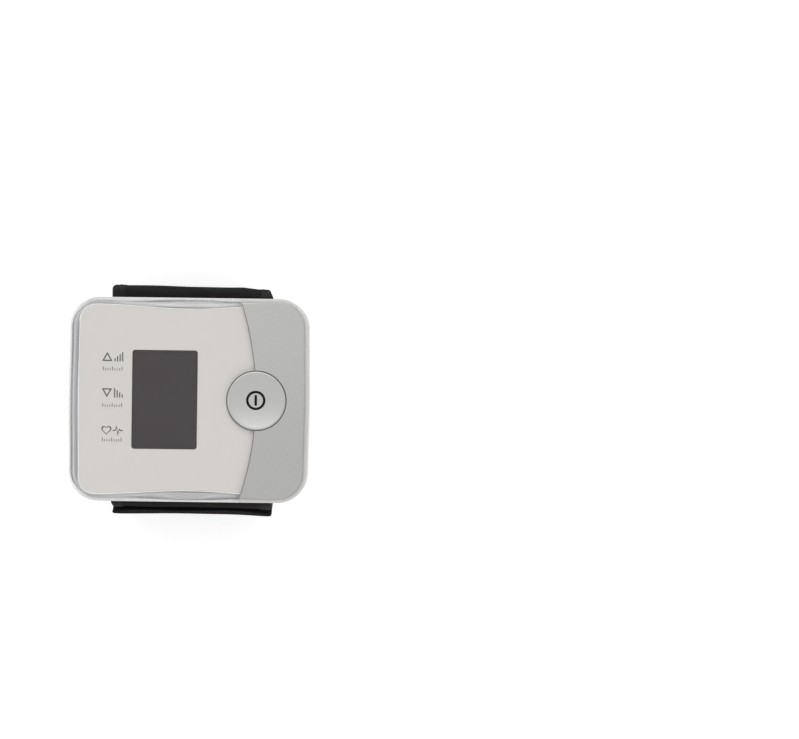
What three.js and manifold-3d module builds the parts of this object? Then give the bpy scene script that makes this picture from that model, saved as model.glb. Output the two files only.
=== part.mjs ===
// Wrist blood pressure monitor, lying face up on its closed cuff. Millimetres, +Z up.
// X runs along the forearm, Y round the wrist, and the display reads with +Y at its top.
// The origin is on the table, under the middle of the housing.
import * as THREE from "three";
import { mergeVertices, toCreasedNormals } from "three/addons/utils/BufferGeometryUtils.js";
import Module from "manifold-3d";

const wasm = await Module();
wasm.setup();

// Driving sizes of the housing
const bodyLength = 82;
const bodyWidth = 69.6;
const bodyCorner = 10.2;
const sideCrown = 0.3;
const faceHeight = 91;
const housingDepth = 34;
const saddleDepth = 29;
const frontDepth = 7;
const housingWall = 2;
const rearEdgeRound = 1.5;
const frontInset = 0.6;

// The face: a raised bevel that swells at mid length, a clear cover and the printed panel under it
const bevelDrop = 2.6;
const sideBevel = 0.9;
const waistBevel = 1.7;
const endBevel = 1.3;
const coverPlate = 2;
const panelEndMargin = 3.2;
const panelSideMargin = 2.2;
const panelWaist = 1.4;
const panelThickness = 0.8;
const panelCorner = 5.2;
const platformPlate = 1.6;
const platformWall = 1.5;
const partingRadius = 108;
const partingInset = 18;
const partingGap = 0.3;

// The power button and its switch
const buttonInset = 17.85;
const buttonRadius = 10.05;
const buttonGap = 0.3;
const buttonTravel = 0.6;
const buttonDishDepth = 0.7;
const buttonRimRadius = 0.45;
const buttonPlate = 1.9;
const buttonFlangeWidth = 1.25;
const buttonFlangeThickness = 0.8;
const buttonSkirtWall = 1.2;
const buttonStemRadius = 2;
const switchWidth = 6;
const switchHeight = 2.6;
const switchFloorThickness = 0.5;
const plungerRadius = 1.5;
const plungerRiseHeight = 0.6;

// The display
const displayToButton = 31.25;
const windowWidth = 22.3;
const windowHeight = 33.7;
const windowCorner = 1;
const displayWidth = 26;
const displayHeight = 36;
const displayThickness = 1.8;
const frameHeight = 4.2;
const frameSideWall = 3;
const frameStripWall = 1.3;
const frameStripWeb = 1.1;
const contactStripWidth = 2;
const contactStripLength = 19.4;

// The circuit board and its parts
const boardInset = 12;
const boardLowY = -19.1;
const boardHighY = 28.2;
const boardCorner = 2;
const boardThickness = 1.6;
const chipInset = 12;
const chipY = -6;
const chipWidth = 10;
const chipHeight = 1.4;
const buzzerToButton = 4.15;
const buzzerY = -9;
const buzzerRadius = 6.1;
const buzzerHeight = 5;
const buzzerPortRadius = 1;
const sensorY = -10.5;
const sensorLength = 8;
const sensorWidth = 7;
const sensorHeight = 4.8;

// The air path
const pumpY = 23.2;
const pumpDrop = 18.8;
const pumpRadius = 6.6;
const pumpRearInset = 16.5;
const pumpFrontInset = 28.2;
const motorCap = 1.2;
const pumpHeadLength = 13;
const sleeveRadius = 7.6;
const sleeveMargin = 2;
const valveRearInset = 15;
const valveFrontX = -10;
const valveWidth = 9.8;
const valveHeight = 12.2;
const nippleRadius = 1.4;
const nippleBoreRadius = 0.7;
const nippleLength = 3.2;
const hubRadius = 2.6;
const tubeRadius = 2.5;
const tubeBoreRadius = 1.7;
const tubeBendLength = 9;
const portY = 9;
const portFlangeRadius = 3.6;
const portFlangeThickness = 0.8;
const portRise = 5.6;

// The rear housing: saddle, screw posts, ribs and battery bay
const saddleWall = 1.6;
const shelfDepth = 5.6;
const shelfThickness = 1.4;
const caseScrewEndInset = 8.2;
const caseScrewSideInset = 8.8;
const caseBossRadius = 3;
const caseScrewSink = 16;
const caseScrewGrip = 3.2;
const boardScrewInset = 2.4;
const boardScrewY = 24.4;
const boardPostRadius = 2.3;
const boardScrewGrip = 3;
const ribThickness = 1.6;
const cellRibShares = [-0.5, 0.5];
const pumpRibShares = [0.25, 0.75];
const pumpRibSpanShare = 0.9;
const bayInset = 15.7;
const bayWall = 1.3;
const doorThickness = 1.6;
const doorLap = 1;
const doorLapZ = 0.75;
const doorSkirtDepth = 1.1;
const doorSkirtWall = 1;
const scoopRadius = 7;
const scoopDepth = 0.9;
const cuffBossX = 12;
const cuffBossRadius = 2.9;
const retainerLength = 34;
const retainerWidth = 7.6;
const retainerThickness = 1.2;

// The cuff: a closed oval loop of four layers that stands on a flat pressed into its lowest point
const cuffWidth = 56;
const loopOverall = 80.2;
const loopFlatHeight = 0.5;
const loopPowerTop = 2.7;
const loopPowerBottom = 2.5;
const armLength = 84;
const endGap = 5;
const hingeGap = 0.3;
const layerGap = 0.2;
const outerCoverThickness = 1;
const curlerThickness = 1;
const bladderThickness = 1.8;
const innerCoverThickness = 0.8;
const innerCoverCrown = 0.9;
const coverLip = 1;
const coverEdgeRound = 1.1;
const curlerWidth = 46;
const bladderWidth = 49;

// The strap that closes the cuff
const strapWidth = 55.2;
const strapLength = 44;
const strapSewnLength = 8;
const strapThickness = 1.2;
const strapCorner = 9;
const hookThickness = 0.8;
const hookMargin = 3;

// Standard bought-in parts and common clearances
const cellRadius = 5.25;
const springRoom = 4.1;
const cellNubRadius = 1.9;
const cellNubLength = 0.8;
const cellY = -26.6;
const cellPitch = 10.7;
const lowerCellDrop = 25.9;
const contactThickness = 0.4;
const contactHalfWidth = 4.2;
const contactInnerShare = 0.7;
const springWireRadius = 0.3;
const springWideRadius = 4.1;
const springNarrowRadius = 2.1;
const springTurns = 3;
const caseScrew = { radius: 0.9, headRadius: 1.9, headHeight: 1.4 };
const boardScrew = { radius: 0.8, headRadius: 1.9, headHeight: 1.2 };
const retainerScrew = { radius: 0.9, headRadius: 1.9, headHeight: 1.2 };
const fitGap = 0.3;
const overrun = 1;

// How finely round shapes are cut
const cornerSteps = 6;
const longSideSteps = 10;
const shortSideSteps = 4;
const bevelSteps = 4;
const roundSteps = 28;
const smallRoundSteps = 12;
const loopSteps = 32;
const rootSteps = 34;
const armSteps = 22;
const strapTailSteps = 24;
const hookSteps = 12;
const strapSewnSteps = 3;
const partingSteps = 150;
const buttonSteps = 36;
const springTurnSteps = 8;
const springSides = 5;
const tubeSides = 8;
const tubeSpanSteps = 2;
const weldDistance = 1e-4;
const creaseAngle = Math.PI / 6;

// Levels and edges worked out from the driving sizes
const rearEdgeHeight = faceHeight - housingDepth;
const loopTop = faceHeight - saddleDepth;
const partingHeight = faceHeight - frontDepth;
const panelTop = faceHeight - coverPlate - layerGap;
const platformTop = panelTop - panelThickness;
const platformUnder = platformTop - platformPlate;
const displayTop = platformTop - layerGap;
const displayBottom = displayTop - displayThickness;
const boardTop = displayBottom - frameHeight;
const boardBottom = boardTop - boardThickness;
const pumpZ = faceHeight - pumpDrop;
const portTop = loopTop + portRise;
const lowerCellZ = faceHeight - lowerCellDrop;

// Places along the housing and across it, from its ends and sides
const bodyHalfLength = bodyLength / 2;
const partingApex = bodyHalfLength - partingInset;
const buttonX = bodyHalfLength - buttonInset;
const displayX = buttonX - displayToButton;
const boardLength = bodyLength - 2 * boardInset;
const boardScrewX = boardLength / 2 - boardScrewInset;
const chipX = chipInset - boardLength / 2;
const buzzerX = buttonX - buzzerToButton;
const pumpRearX = pumpRearInset - bodyHalfLength;
const pumpFrontX = bodyHalfLength - pumpFrontInset;
const pumpHeadX = pumpFrontX - pumpHeadLength;
const motorLength = pumpHeadX - fitGap - pumpRearX;
const valveRearX = valveRearInset - bodyHalfLength;
const caseScrewX = bodyHalfLength - caseScrewEndInset;
const caseScrewY = bodyWidth / 2 - caseScrewSideInset;
const bayHalfLength = bodyHalfLength - bayInset;
const contactInnerX = bayHalfLength - fitGap - contactThickness;
const cellLength = 2 * (contactInnerX - fitGap) - springRoom;

// Materials
function plastic(color, roughness, metalness = 0) {
  return new THREE.MeshStandardMaterial({ color, roughness, metalness });
}
const silverPaint = plastic(0xbcbcba, 0.42, 0.35);
const whitePlastic = plastic(0xe4e2df, 0.45);
const clearPlastic = new THREE.MeshStandardMaterial({
  color: 0xf2f2f4,
  roughness: 0.05,
  metalness: 0,
  transparent: true,
  opacity: 0.35,
});
const creamPrint = plastic(0xd7d3cf, 0.5);
const displayGlassDark = plastic(0x524e4f, 0.15);
const rubberGrey = plastic(0x5a5a5c, 0.8);
const blackFoam = plastic(0x2a2a2a, 0.95);
const blackFabric = plastic(0x211f20, 0.95);
const liningFabric = plastic(0x2b2a2c, 0.85);
const hookFabric = plastic(0x18181a, 0.8);
const boardGreen = plastic(0x1f5a36, 0.55);
const blackPlastic = plastic(0x222222, 0.5);
const whiteInner = plastic(0xdedede, 0.5);
const steel = plastic(0xb9bcc0, 0.3, 1);
const siliconeRubber = plastic(0xd9dcd8, 0.6);
const bladderFilm = plastic(0x9aa3a8, 0.5);
const curlerPlastic = plastic(0xcfd2d4, 0.5);
const cellLabel = plastic(0x3b5f8a, 0.4);

// Makes a closed geometry a solid that can be joined and cut, whichever way round its faces were listed.
function solid(geometry) {
  const loose = geometry.index ? geometry.toNonIndexed() : geometry;
  const bare = new THREE.BufferGeometry().setAttribute("position", loose.getAttribute("position"));
  const welded = mergeVertices(bare, weldDistance);
  const corners = welded.index.array;
  const faces = [];
  for (let i = 0; i < corners.length; i += 3) {
    const [a, b, c] = [corners[i], corners[i + 1], corners[i + 2]];
    if (a !== b && b !== c && c !== a) faces.push(a, b, c);
  }
  const vertProperties = welded.attributes.position.array;
  const build = (triVerts) => new wasm.Manifold(new wasm.Mesh({ numProp: 3, vertProperties, triVerts }));
  const made = build(new Uint32Array(faces));
  return made.volume() < 0 ? build(new Uint32Array(faces).reverse()) : made;
}

// A three.js geometry of a finished solid.
function geometryOf(made) {
  const mesh = made.getMesh();
  const places = new Float32Array(mesh.numVert * 3);
  for (let i = 0; i < mesh.numVert; i++)
    places.set(mesh.vertProperties.subarray(i * mesh.numProp, i * mesh.numProp + 3), i * 3);
  const geometry = new THREE.BufferGeometry().setAttribute("position", new THREE.BufferAttribute(places, 3));
  geometry.setIndex(new THREE.BufferAttribute(mesh.triVerts, 1));
  return toCreasedNormals(geometry, creaseAngle);
}

function join(...solids) {
  return solids.reduce((sum, next) => sum.add(next));
}

function cut(body, ...tools) {
  return tools.reduce((left, tool) => left.subtract(tool), body);
}

// Skins a row of equal closed rings, and closes its two ends with the outline that the rings share.
function skin(rings, endOutline) {
  const count = endOutline.length;
  const places = rings.flat().flatMap((p) => [p.x, p.y, p.z]);
  const faces = [];
  for (let ring = 0; ring + 1 < rings.length; ring++)
    for (let i = 0; i < count; i++) {
      const a = ring * count + i;
      const b = ring * count + ((i + 1) % count);
      faces.push(a, b, b + count, a, b + count, a + count);
    }
  const last = (rings.length - 1) * count;
  for (const [i, j, k] of THREE.ShapeUtils.triangulateShape(endOutline, []))
    faces.push(k, j, i, last + i, last + j, last + k);
  const geometry = new THREE.BufferGeometry();
  geometry.setAttribute("position", new THREE.Float32BufferAttribute(places, 3));
  geometry.setIndex(faces);
  return solid(geometry);
}

// A straight-sided solid between two heights.
function prism(outline, low, high) {
  const at = (z) => outline.map((p) => new THREE.Vector3(p.x, p.y, z));
  return skin([at(low), at(high)], outline);
}

function block(lowX, highX, lowY, highY, lowZ, highZ) {
  const made = new THREE.BoxGeometry(highX - lowX, highY - lowY, highZ - lowZ);
  made.translate((lowX + highX) / 2, (lowY + highY) / 2, (lowZ + highZ) / 2);
  return solid(made);
}

// A round bar along Z.
function bar(radius, x, y, low, high, steps = smallRoundSteps) {
  const made = new THREE.CylinderGeometry(radius, radius, high - low, steps);
  made.rotateX(Math.PI / 2);
  made.translate(x, y, (low + high) / 2);
  return solid(made);
}

// A round bar along X.
function barX(radius, lowX, highX, y, z, steps = smallRoundSteps) {
  const made = new THREE.CylinderGeometry(radius, radius, highX - lowX, steps);
  made.rotateZ(Math.PI / 2);
  made.translate((lowX + highX) / 2, y, z);
  return solid(made);
}

// A round bar along Y.
function barY(radius, x, lowY, highY, z, steps = smallRoundSteps) {
  const made = new THREE.CylinderGeometry(radius, radius, highY - lowY, steps);
  made.translate(x, (lowY + highY) / 2, z);
  return solid(made);
}

// A turned solid about a vertical axis. Its profile of [radius, height] pairs starts and ends on the axis.
function turned(profile, x, y, steps = roundSteps) {
  const made = new THREE.LatheGeometry(
    profile.map(([radius, height]) => new THREE.Vector2(radius, height)),
    steps,
  );
  made.rotateX(Math.PI / 2);
  made.translate(x, y, 0);
  return solid(made);
}

// A rounded rectangle seen from above, counter-clockwise.
// Its long sides are drawn in by waist at mid length, and its short sides swell by crown.
function roundedOutline(halfX, halfY, radius, waist = 0, crown = 0, longSteps = 1, shortSteps = 1) {
  const points = [];
  const flatX = halfX - radius;
  const flatY = halfY - radius;
  const swell = (share) => (1 + Math.cos(Math.PI * share)) / 2;
  const side = (steps, place) => {
    for (let i = 0; i <= steps; i++) points.push(place((2 * i) / steps - 1));
  };
  const corner = (signX, signY, start) => {
    for (let i = 1; i < cornerSteps; i++) {
      const angle = start + (i / cornerSteps) * (Math.PI / 2);
      points.push(
        new THREE.Vector2(
          signX * flatX + radius * Math.cos(angle),
          signY * flatY + radius * Math.sin(angle),
        ),
      );
    }
  };
  side(shortSteps, (s) => new THREE.Vector2(halfX + crown * swell(s), s * flatY));
  corner(1, 1, 0);
  side(longSteps, (s) => new THREE.Vector2(-s * flatX, halfY - waist * swell(s)));
  corner(-1, 1, Math.PI / 2);
  side(shortSteps, (s) => new THREE.Vector2(-halfX - crown * swell(s), -s * flatY));
  corner(-1, -1, Math.PI);
  side(longSteps, (s) => new THREE.Vector2(s * flatX, -halfY + waist * swell(s)));
  corner(1, -1, 1.5 * Math.PI);
  return points;
}

// The housing's outline, drawn in evenly by inset.
function bodyOutline(inset) {
  return roundedOutline(
    bodyLength / 2 - sideCrown - inset,
    bodyWidth / 2 - inset,
    Math.max(bodyCorner - inset, housingWall),
    0,
    sideCrown,
    1,
    shortSideSteps,
  );
}

// The outline that the printed panel and the platform under it share.
function panelOutline(grow) {
  return roundedOutline(
    bodyLength / 2 - sideCrown - frontInset - panelEndMargin + grow,
    bodyWidth / 2 - frontInset - panelSideMargin + grow,
    panelCorner + grow,
    panelWaist,
    sideCrown,
    longSideSteps,
    shortSideSteps,
  );
}

function shiftOutline(outline, x, y) {
  return outline.map((p) => new THREE.Vector2(p.x + x, p.y + y));
}

// A small rounded rectangle centred on x, y.
function plate(width, height, radius, x, y) {
  return shiftOutline(roundedOutline(width / 2, height / 2, radius), x, y);
}

// The loop that the cuff's outer surface follows round the wrist, in the plane of Y and Z.
const strapStack = layerGap + hookThickness + layerGap + strapThickness;
const loopCentreY = strapStack / 2;
const loopHalfWidth = loopOverall / 2 - loopCentreY;
const loopHalfHeight = (loopTop + loopFlatHeight) / 2;
const loopCentreZ = loopTop - loopHalfHeight;

// A point of the loop and its outward normal. Angle 0 is the hinge, and a quarter turn is under the housing.
function loopStation(angle) {
  const across = Math.cos(angle);
  const up = Math.sin(angle);
  const power = up >= 0 ? loopPowerTop : loopPowerBottom;
  const u = Math.sign(across) * Math.abs(across) ** (2 / power);
  const v = Math.sign(up) * Math.abs(up) ** (2 / power);
  const normal = new THREE.Vector2(
    (Math.sign(u) * Math.abs(u) ** (power - 1)) / loopHalfWidth,
    (Math.sign(v) * Math.abs(v) ** (power - 1)) / loopHalfHeight,
  ).normalize();
  return {
    y: loopCentreY + loopHalfWidth * u,
    z: loopCentreZ + loopHalfHeight * v,
    ny: normal.x,
    nz: normal.y,
  };
}

// The loop as a table of stations with their distance from the hinge, to find points by length.
const loopTable = [];
const loopTableSteps = 1440;
for (let i = 0; i <= loopTableSteps; i++) {
  const station = loopStation((i / loopTableSteps) * 2 * Math.PI);
  const before = loopTable[i - 1];
  station.length = before ? before.length + Math.hypot(station.y - before.y, station.z - before.z) : 0;
  loopTable.push(station);
}
const loopLength = loopTable[loopTableSteps].length;

// The station at a length round the loop from the hinge. Positive lengths run up and over under the housing.
function loopAt(length) {
  const wanted = ((length % loopLength) + loopLength) % loopLength;
  const next = loopTable.findIndex((station) => station.length > wanted);
  const [a, b] = [loopTable[next - 1], loopTable[next]];
  const share = (wanted - a.length) / (b.length - a.length);
  const mix = (key) => a[key] + share * (b[key] - a[key]);
  const normal = new THREE.Vector2(mix("ny"), mix("nz")).normalize();
  return { y: mix("y"), z: mix("z"), ny: normal.x, nz: normal.y };
}

// A band that follows the loop between two lengths. Its section is a list of [x, depth] pairs, with depth
// measured inwards from the cuff's outer surface, and may change with the share of the way along.
function band(from, to, section, steps = loopSteps) {
  const rings = [];
  for (let i = 0; i <= steps; i++) {
    const share = i / steps;
    const station = loopAt(from + share * (to - from));
    rings.push(
      section(share).map(
        ([x, depth]) => new THREE.Vector3(x, station.y - station.ny * depth, station.z - station.nz * depth),
      ),
    );
  }
  const ends = section(0).map(([x, depth]) => new THREE.Vector2(x, depth));
  return skin(rings, ends);
}

// The whole loop as a solid oval bar across the housing, grown outwards.
function loopBar(grow, halfWidth) {
  const outline = [];
  for (let i = 0; i < 2 * loopSteps; i++) {
    const station = loopAt((i / (2 * loopSteps)) * loopLength);
    outline.push(new THREE.Vector2(station.y + station.ny * grow, station.z + station.nz * grow));
  }
  const at = (x) => outline.map((p) => new THREE.Vector3(x, p.x, p.y));
  return skin([at(-halfWidth), at(halfWidth)], outline);
}

// A flat strip's section.
function stripSection(halfWidth, outerDepth, innerDepth) {
  return [
    [-halfWidth, outerDepth],
    [halfWidth, outerDepth],
    [halfWidth, innerDepth],
    [-halfWidth, innerDepth],
  ];
}

// A strip's section whose inner side swells towards the wrist.
function crownedSection(halfWidth, outerDepth, innerDepth, crown) {
  const points = [
    [-halfWidth, outerDepth],
    [halfWidth, outerDepth],
  ];
  for (let i = 0; i <= bevelSteps * 2; i++) {
    const share = 1 - i / bevelSteps;
    points.push([share * halfWidth, innerDepth + crown * (1 - share ** 2)]);
  }
  return points;
}

// The outer cover's full section, with its two outer edges rounded.
function coverSection(halfWidth, depth, round) {
  const points = [];
  for (let i = 0; i <= bevelSteps; i++) {
    const angle = (i / bevelSteps) * (Math.PI / 2);
    points.push([halfWidth - round + round * Math.sin(angle), round - round * Math.cos(angle)]);
  }
  points.push([halfWidth, depth], [-halfWidth, depth]);
  for (let i = 0; i <= bevelSteps; i++) {
    const angle = (1 - i / bevelSteps) * (Math.PI / 2);
    points.push([-halfWidth + round - round * Math.sin(angle), round - round * Math.cos(angle)]);
  }
  return points;
}

// A regular ring of points.
function ringPoints(radius, sides) {
  return Array.from({ length: sides }, (_, i) => {
    const angle = (i / sides) * 2 * Math.PI;
    return new THREE.Vector2(radius * Math.cos(angle), radius * Math.sin(angle));
  });
}

// A round wire along a curve, or a soft tube where it has a bore.
function wire(points, radius, sides, steps, boreRadius = 0) {
  const extrudePath = new THREE.CatmullRomCurve3(points.map((p) => new THREE.Vector3(...p)));
  const section = new THREE.Shape(ringPoints(radius, sides));
  if (boreRadius) section.holes.push(new THREE.Path(ringPoints(boreRadius, sides)));
  return solid(new THREE.ExtrudeGeometry(section, { steps, extrudePath, bevelEnabled: false }));
}

// A turned screw on a seat. Its shank points up where the way is 1, and down where it is -1.
function screw(size, x, y, seat, length, way) {
  const far = seat + way * length;
  const back = seat - way * size.headHeight;
  const profile = [
    [0, back],
    [size.headRadius, back],
    [size.headRadius, seat],
    [size.radius, seat],
    [size.radius, far],
    [0, far],
  ];
  return turned(profile, x, y, smallRoundSteps);
}

// Front of the housing, above the parting line
const partingCentreX = partingApex - partingRadius;

// The drum whose wall is the curved parting line between the clear cover and the silver end.
function partingDrum(radiusChange) {
  const radius = partingRadius + radiusChange;
  return bar(radius, partingCentreX, 0, rearEdgeHeight, faceHeight + overrun, partingSteps);
}

// The front's outline at a share of the way up its bevel.
function frontOutline(share) {
  return roundedOutline(
    bodyLength / 2 - sideCrown - frontInset - share * endBevel,
    bodyWidth / 2 - frontInset - share * sideBevel,
    bodyCorner - frontInset - share * sideBevel,
    share * waistBevel,
    sideCrown,
    longSideSteps,
    shortSideSteps,
  );
}

// The outside of the front: upright sides, then a rounded bevel up to the flat face.
function frontEnvelope() {
  const ring = (share, z) => frontOutline(share).map((p) => new THREE.Vector3(p.x, p.y, z));
  const rings = [ring(0, partingHeight)];
  for (let i = 0; i <= bevelSteps; i++) {
    const angle = (i / bevelSteps) * (Math.PI / 2);
    rings.push(ring(1 - Math.cos(angle), faceHeight - bevelDrop * (1 - Math.sin(angle))));
  }
  return skin(rings, frontOutline(0));
}

const envelope = frontEnvelope();
const buttonBore = buttonRadius + buttonGap;

// A round bar on the button's axis, from under the platform to above the face.
function buttonBar(radius, low, high) {
  return bar(radius, buttonX, 0, low, high, 2 * roundSteps);
}
const buttonHole = buttonBar(buttonBore, partingHeight, faceHeight + overrun);

// Screw places, shared by both halves of the housing
const screwPlaces = (x, y) => [
  [-x, -y],
  [x, -y],
  [x, y],
  [-x, y],
];
const caseScrewPlaces = screwPlaces(caseScrewX, caseScrewY);
const boardScrewPlaces = [
  [-boardScrewX, boardScrewY],
  [boardScrewX, boardScrewY],
];

// A post with a blind screw hole, hung from the platform on the left and from the silver end on the right.
function postFrom(body, radius, holeRadius, x, y, low, grip) {
  const high = x < 0 ? platformUnder + platformPlate / 2 : faceHeight - housingWall / 2;
  return cut(
    join(body, bar(radius, x, y, low, high)),
    bar(holeRadius, x, y, low - overrun, low + grip),
  );
}

function frontHousing() {
  const silverEnd = cut(envelope, partingDrum(partingGap / 2));
  const platform = prism(panelOutline(0), partingHeight, platformTop);
  const hollow = prism(panelOutline(-platformWall), partingHeight - overrun, platformUnder);
  const endHollow = cut(
    prism(bodyOutline(frontInset + housingWall), partingHeight - overrun, faceHeight - housingWall),
    partingDrum(partingGap / 2 + housingWall),
    buttonBar(buttonBore + housingWall, platformUnder, faceHeight),
  );
  const flangeHollow = buttonBar(
    buttonBore + buttonFlangeWidth + housingWall,
    partingHeight - overrun,
    platformUnder,
  );
  const displayHole = prism(
    plate(displayWidth + 2 * fitGap, displayHeight + 2 * fitGap, windowCorner, displayX, 0),
    platformUnder - overrun,
    platformTop + overrun,
  );
  const collar = buttonBar(buttonBore + housingWall, platformUnder, platformTop);
  let body = cut(join(silverEnd, platform), hollow, endHollow, flangeHollow);
  body = cut(join(body, collar), displayHole, buttonHole);
  for (const [x, y] of caseScrewPlaces)
    body = postFrom(body, caseBossRadius, caseScrew.radius + fitGap, x, y, partingHeight, caseScrewGrip);
  for (const [x, y] of boardScrewPlaces)
    body = postFrom(body, boardPostRadius, boardScrew.radius + fitGap, x, y, boardTop, boardScrewGrip);
  return body;
}

function clearCover() {
  const cap = envelope.intersect(partingDrum(-partingGap / 2));
  const recess = prism(panelOutline(fitGap), partingHeight - overrun, panelTop + layerGap);
  return cut(cap, recess, buttonHole);
}

function facePanel() {
  const sheet = prism(panelOutline(0), platformTop, panelTop);
  const window = prism(
    plate(windowWidth, windowHeight, windowCorner, displayX, 0),
    platformTop - overrun,
    panelTop + overrun,
  );
  return cut(sheet.intersect(partingDrum(-partingGap / 2)), window, buttonHole);
}

// The power button: a dished cap with a skirt, a flange that stops it under the platform, and a stem
const flangeTop = platformUnder - fitGap;
const flangeBottom = flangeTop - buttonFlangeThickness;
const capUnder = faceHeight - buttonPlate;
const switchBottom = boardTop + layerGap;
const switchTop = switchBottom + switchHeight;
const plungerTop = switchTop + plungerRiseHeight;
const plungerBottom = switchBottom + switchFloorThickness + buttonTravel + layerGap;
const stemBottom = plungerTop + layerGap;

function powerButton() {
  const profile = [];
  for (let i = 0; i <= bevelSteps; i++) {
    const share = i / bevelSteps;
    profile.push([
      share * (buttonRadius - buttonRimRadius),
      faceHeight - buttonDishDepth * (1 - share ** 2),
    ]);
  }
  for (let i = 1; i <= bevelSteps; i++) {
    const angle = (i / bevelSteps) * (Math.PI / 2);
    profile.push([
      buttonRadius - buttonRimRadius * (1 - Math.sin(angle)),
      faceHeight - buttonRimRadius * (1 - Math.cos(angle)),
    ]);
  }
  profile.push(
    [buttonRadius, flangeTop],
    [buttonRadius + buttonFlangeWidth, flangeTop],
    [buttonRadius + buttonFlangeWidth, flangeBottom],
    [buttonRadius - buttonSkirtWall, flangeBottom],
    [buttonRadius - buttonSkirtWall, capUnder],
    [buttonStemRadius, capUnder],
    [buttonStemRadius, stemBottom],
    [0, stemBottom],
  );
  return turned(profile, buttonX, 0, buttonSteps);
}

function buttonSwitch() {
  const half = switchWidth / 2;
  const body = block(buttonX - half, buttonX + half, -half, half, switchBottom, switchTop);
  const floor = switchBottom + switchFloorThickness;
  const bore = bar(plungerRadius + fitGap, buttonX, 0, floor, switchTop + overrun);
  return cut(body, bore);
}

// The display: glass in the platform's opening, and a frame that holds two rubber contact strips on the board
const stripInnerY = displayHeight / 2 - frameStripWall - fitGap - contactStripWidth;
const frameTop = displayBottom - layerGap;
const frameBottom = boardTop + layerGap;

function displayGlass() {
  return prism(plate(displayWidth, displayHeight, windowCorner, displayX, 0), displayBottom, displayTop);
}

function displayFrame() {
  const body = prism(plate(displayWidth, displayHeight, windowCorner, displayX, 0), frameBottom, frameTop);
  const innerHalf = displayWidth / 2 - frameSideWall;
  const webY = stripInnerY - fitGap - frameStripWeb;
  const low = frameBottom - overrun;
  const high = frameTop + overrun;
  const window = block(displayX - innerHalf, displayX + innerHalf, -webY, webY, low, high);
  const slots = [-1, 1].map((side) => {
    const near = side * (stripInnerY - fitGap);
    const far = side * (displayHeight / 2 - frameStripWall);
    return block(
      displayX - innerHalf,
      displayX + innerHalf,
      Math.min(near, far),
      Math.max(near, far),
      low,
      high,
    );
  });
  return cut(body, window, ...slots);
}

function contactStrip(side) {
  const centreY = side * (stripInnerY + contactStripWidth / 2);
  return block(
    displayX - contactStripLength / 2,
    displayX + contactStripLength / 2,
    centreY - contactStripWidth / 2,
    centreY + contactStripWidth / 2,
    frameBottom,
    frameTop,
  );
}

// The circuit board and what is soldered to it
function mainBoard() {
  const width = boardHighY - boardLowY;
  const centreY = (boardHighY + boardLowY) / 2;
  const sheet = prism(plate(boardLength, width, boardCorner, 0, centreY), boardBottom, boardTop);
  const under = boardBottom - overrun;
  const over = boardTop + overrun;
  const holes = boardScrewPlaces.map(([x, y]) => bar(boardScrew.radius + fitGap, x, y, under, over));
  return cut(sheet, ...holes);
}

// A block hung under the board, centred on x, y.
function underBoard(x, y, length, width, height) {
  const top = boardBottom - layerGap;
  return block(x - length / 2, x + length / 2, y - width / 2, y + width / 2, top - height, top);
}

function buzzer() {
  const top = boardBottom - layerGap;
  const bottom = top - buzzerHeight;
  const body = bar(buzzerRadius, buzzerX, buzzerY, bottom, top, roundSteps);
  return cut(body, bar(buzzerPortRadius, buzzerX, buzzerY, bottom - overrun, bottom + buzzerHeight / 2));
}

// The air path: pump, valve, sensor and the cuff's port meet in a four-way connector
const sensorNippleZ = boardBottom - layerGap - sensorHeight + nippleRadius + fitGap;
const manifoldZ = valveBottomZ() + valveHeight - nippleRadius - 2 * fitGap;
const hubTopZ = manifoldZ + hubRadius;
const hubBottomZ = manifoldZ - hubRadius;
const sensorFrontY = sensorY + sensorWidth / 2;

function valveBottomZ() {
  return loopTop + fitGap + saddleWall + fitGap;
}

function pressureSensor() {
  const body = underBoard(0, sensorY, sensorLength, sensorWidth, sensorHeight);
  const nipple = barY(nippleRadius, 0, sensorFrontY - overrun, sensorFrontY + nippleLength, sensorNippleZ);
  const bore = barY(nippleBoreRadius, 0, sensorFrontY, sensorFrontY + nippleLength + overrun, sensorNippleZ);
  return cut(join(body, nipple), bore);
}

function pumpMotor() {
  const body = barX(pumpRadius, pumpRearX, pumpRearX + motorLength, pumpY, pumpZ, roundSteps);
  return join(body, barX(pumpRadius / 2, pumpRearX - motorCap, pumpRearX + overrun, pumpY, pumpZ));
}

function pumpHead() {
  const half = pumpRadius;
  const body = block(pumpHeadX, pumpFrontX, pumpY - half, pumpY + half, pumpZ - half, pumpZ + half);
  const nipple = barX(nippleRadius, pumpFrontX - overrun, pumpFrontX + nippleLength, pumpY, pumpZ);
  const bore = barX(nippleBoreRadius, pumpFrontX, pumpFrontX + nippleLength + overrun, pumpY, pumpZ);
  return cut(join(body, nipple), bore);
}

function pumpSleeve() {
  const from = pumpRearX + sleeveMargin;
  const to = pumpRearX + motorLength - sleeveMargin;
  return cut(
    barX(sleeveRadius, from, to, pumpY, pumpZ, roundSteps),
    barX(pumpRadius + fitGap, from - overrun, to + overrun, pumpY, pumpZ, roundSteps),
  );
}

function releaseValve() {
  const bottom = valveBottomZ();
  const half = valveWidth / 2;
  const front = valveFrontX;
  const body = block(valveRearX, front, portY - half, portY + half, bottom, bottom + valveHeight);
  const nipple = barX(nippleRadius, front - overrun, front + nippleLength, portY, manifoldZ);
  const bore = barX(nippleBoreRadius, front, front + nippleLength + overrun, portY, manifoldZ);
  return cut(join(body, nipple), bore);
}

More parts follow.
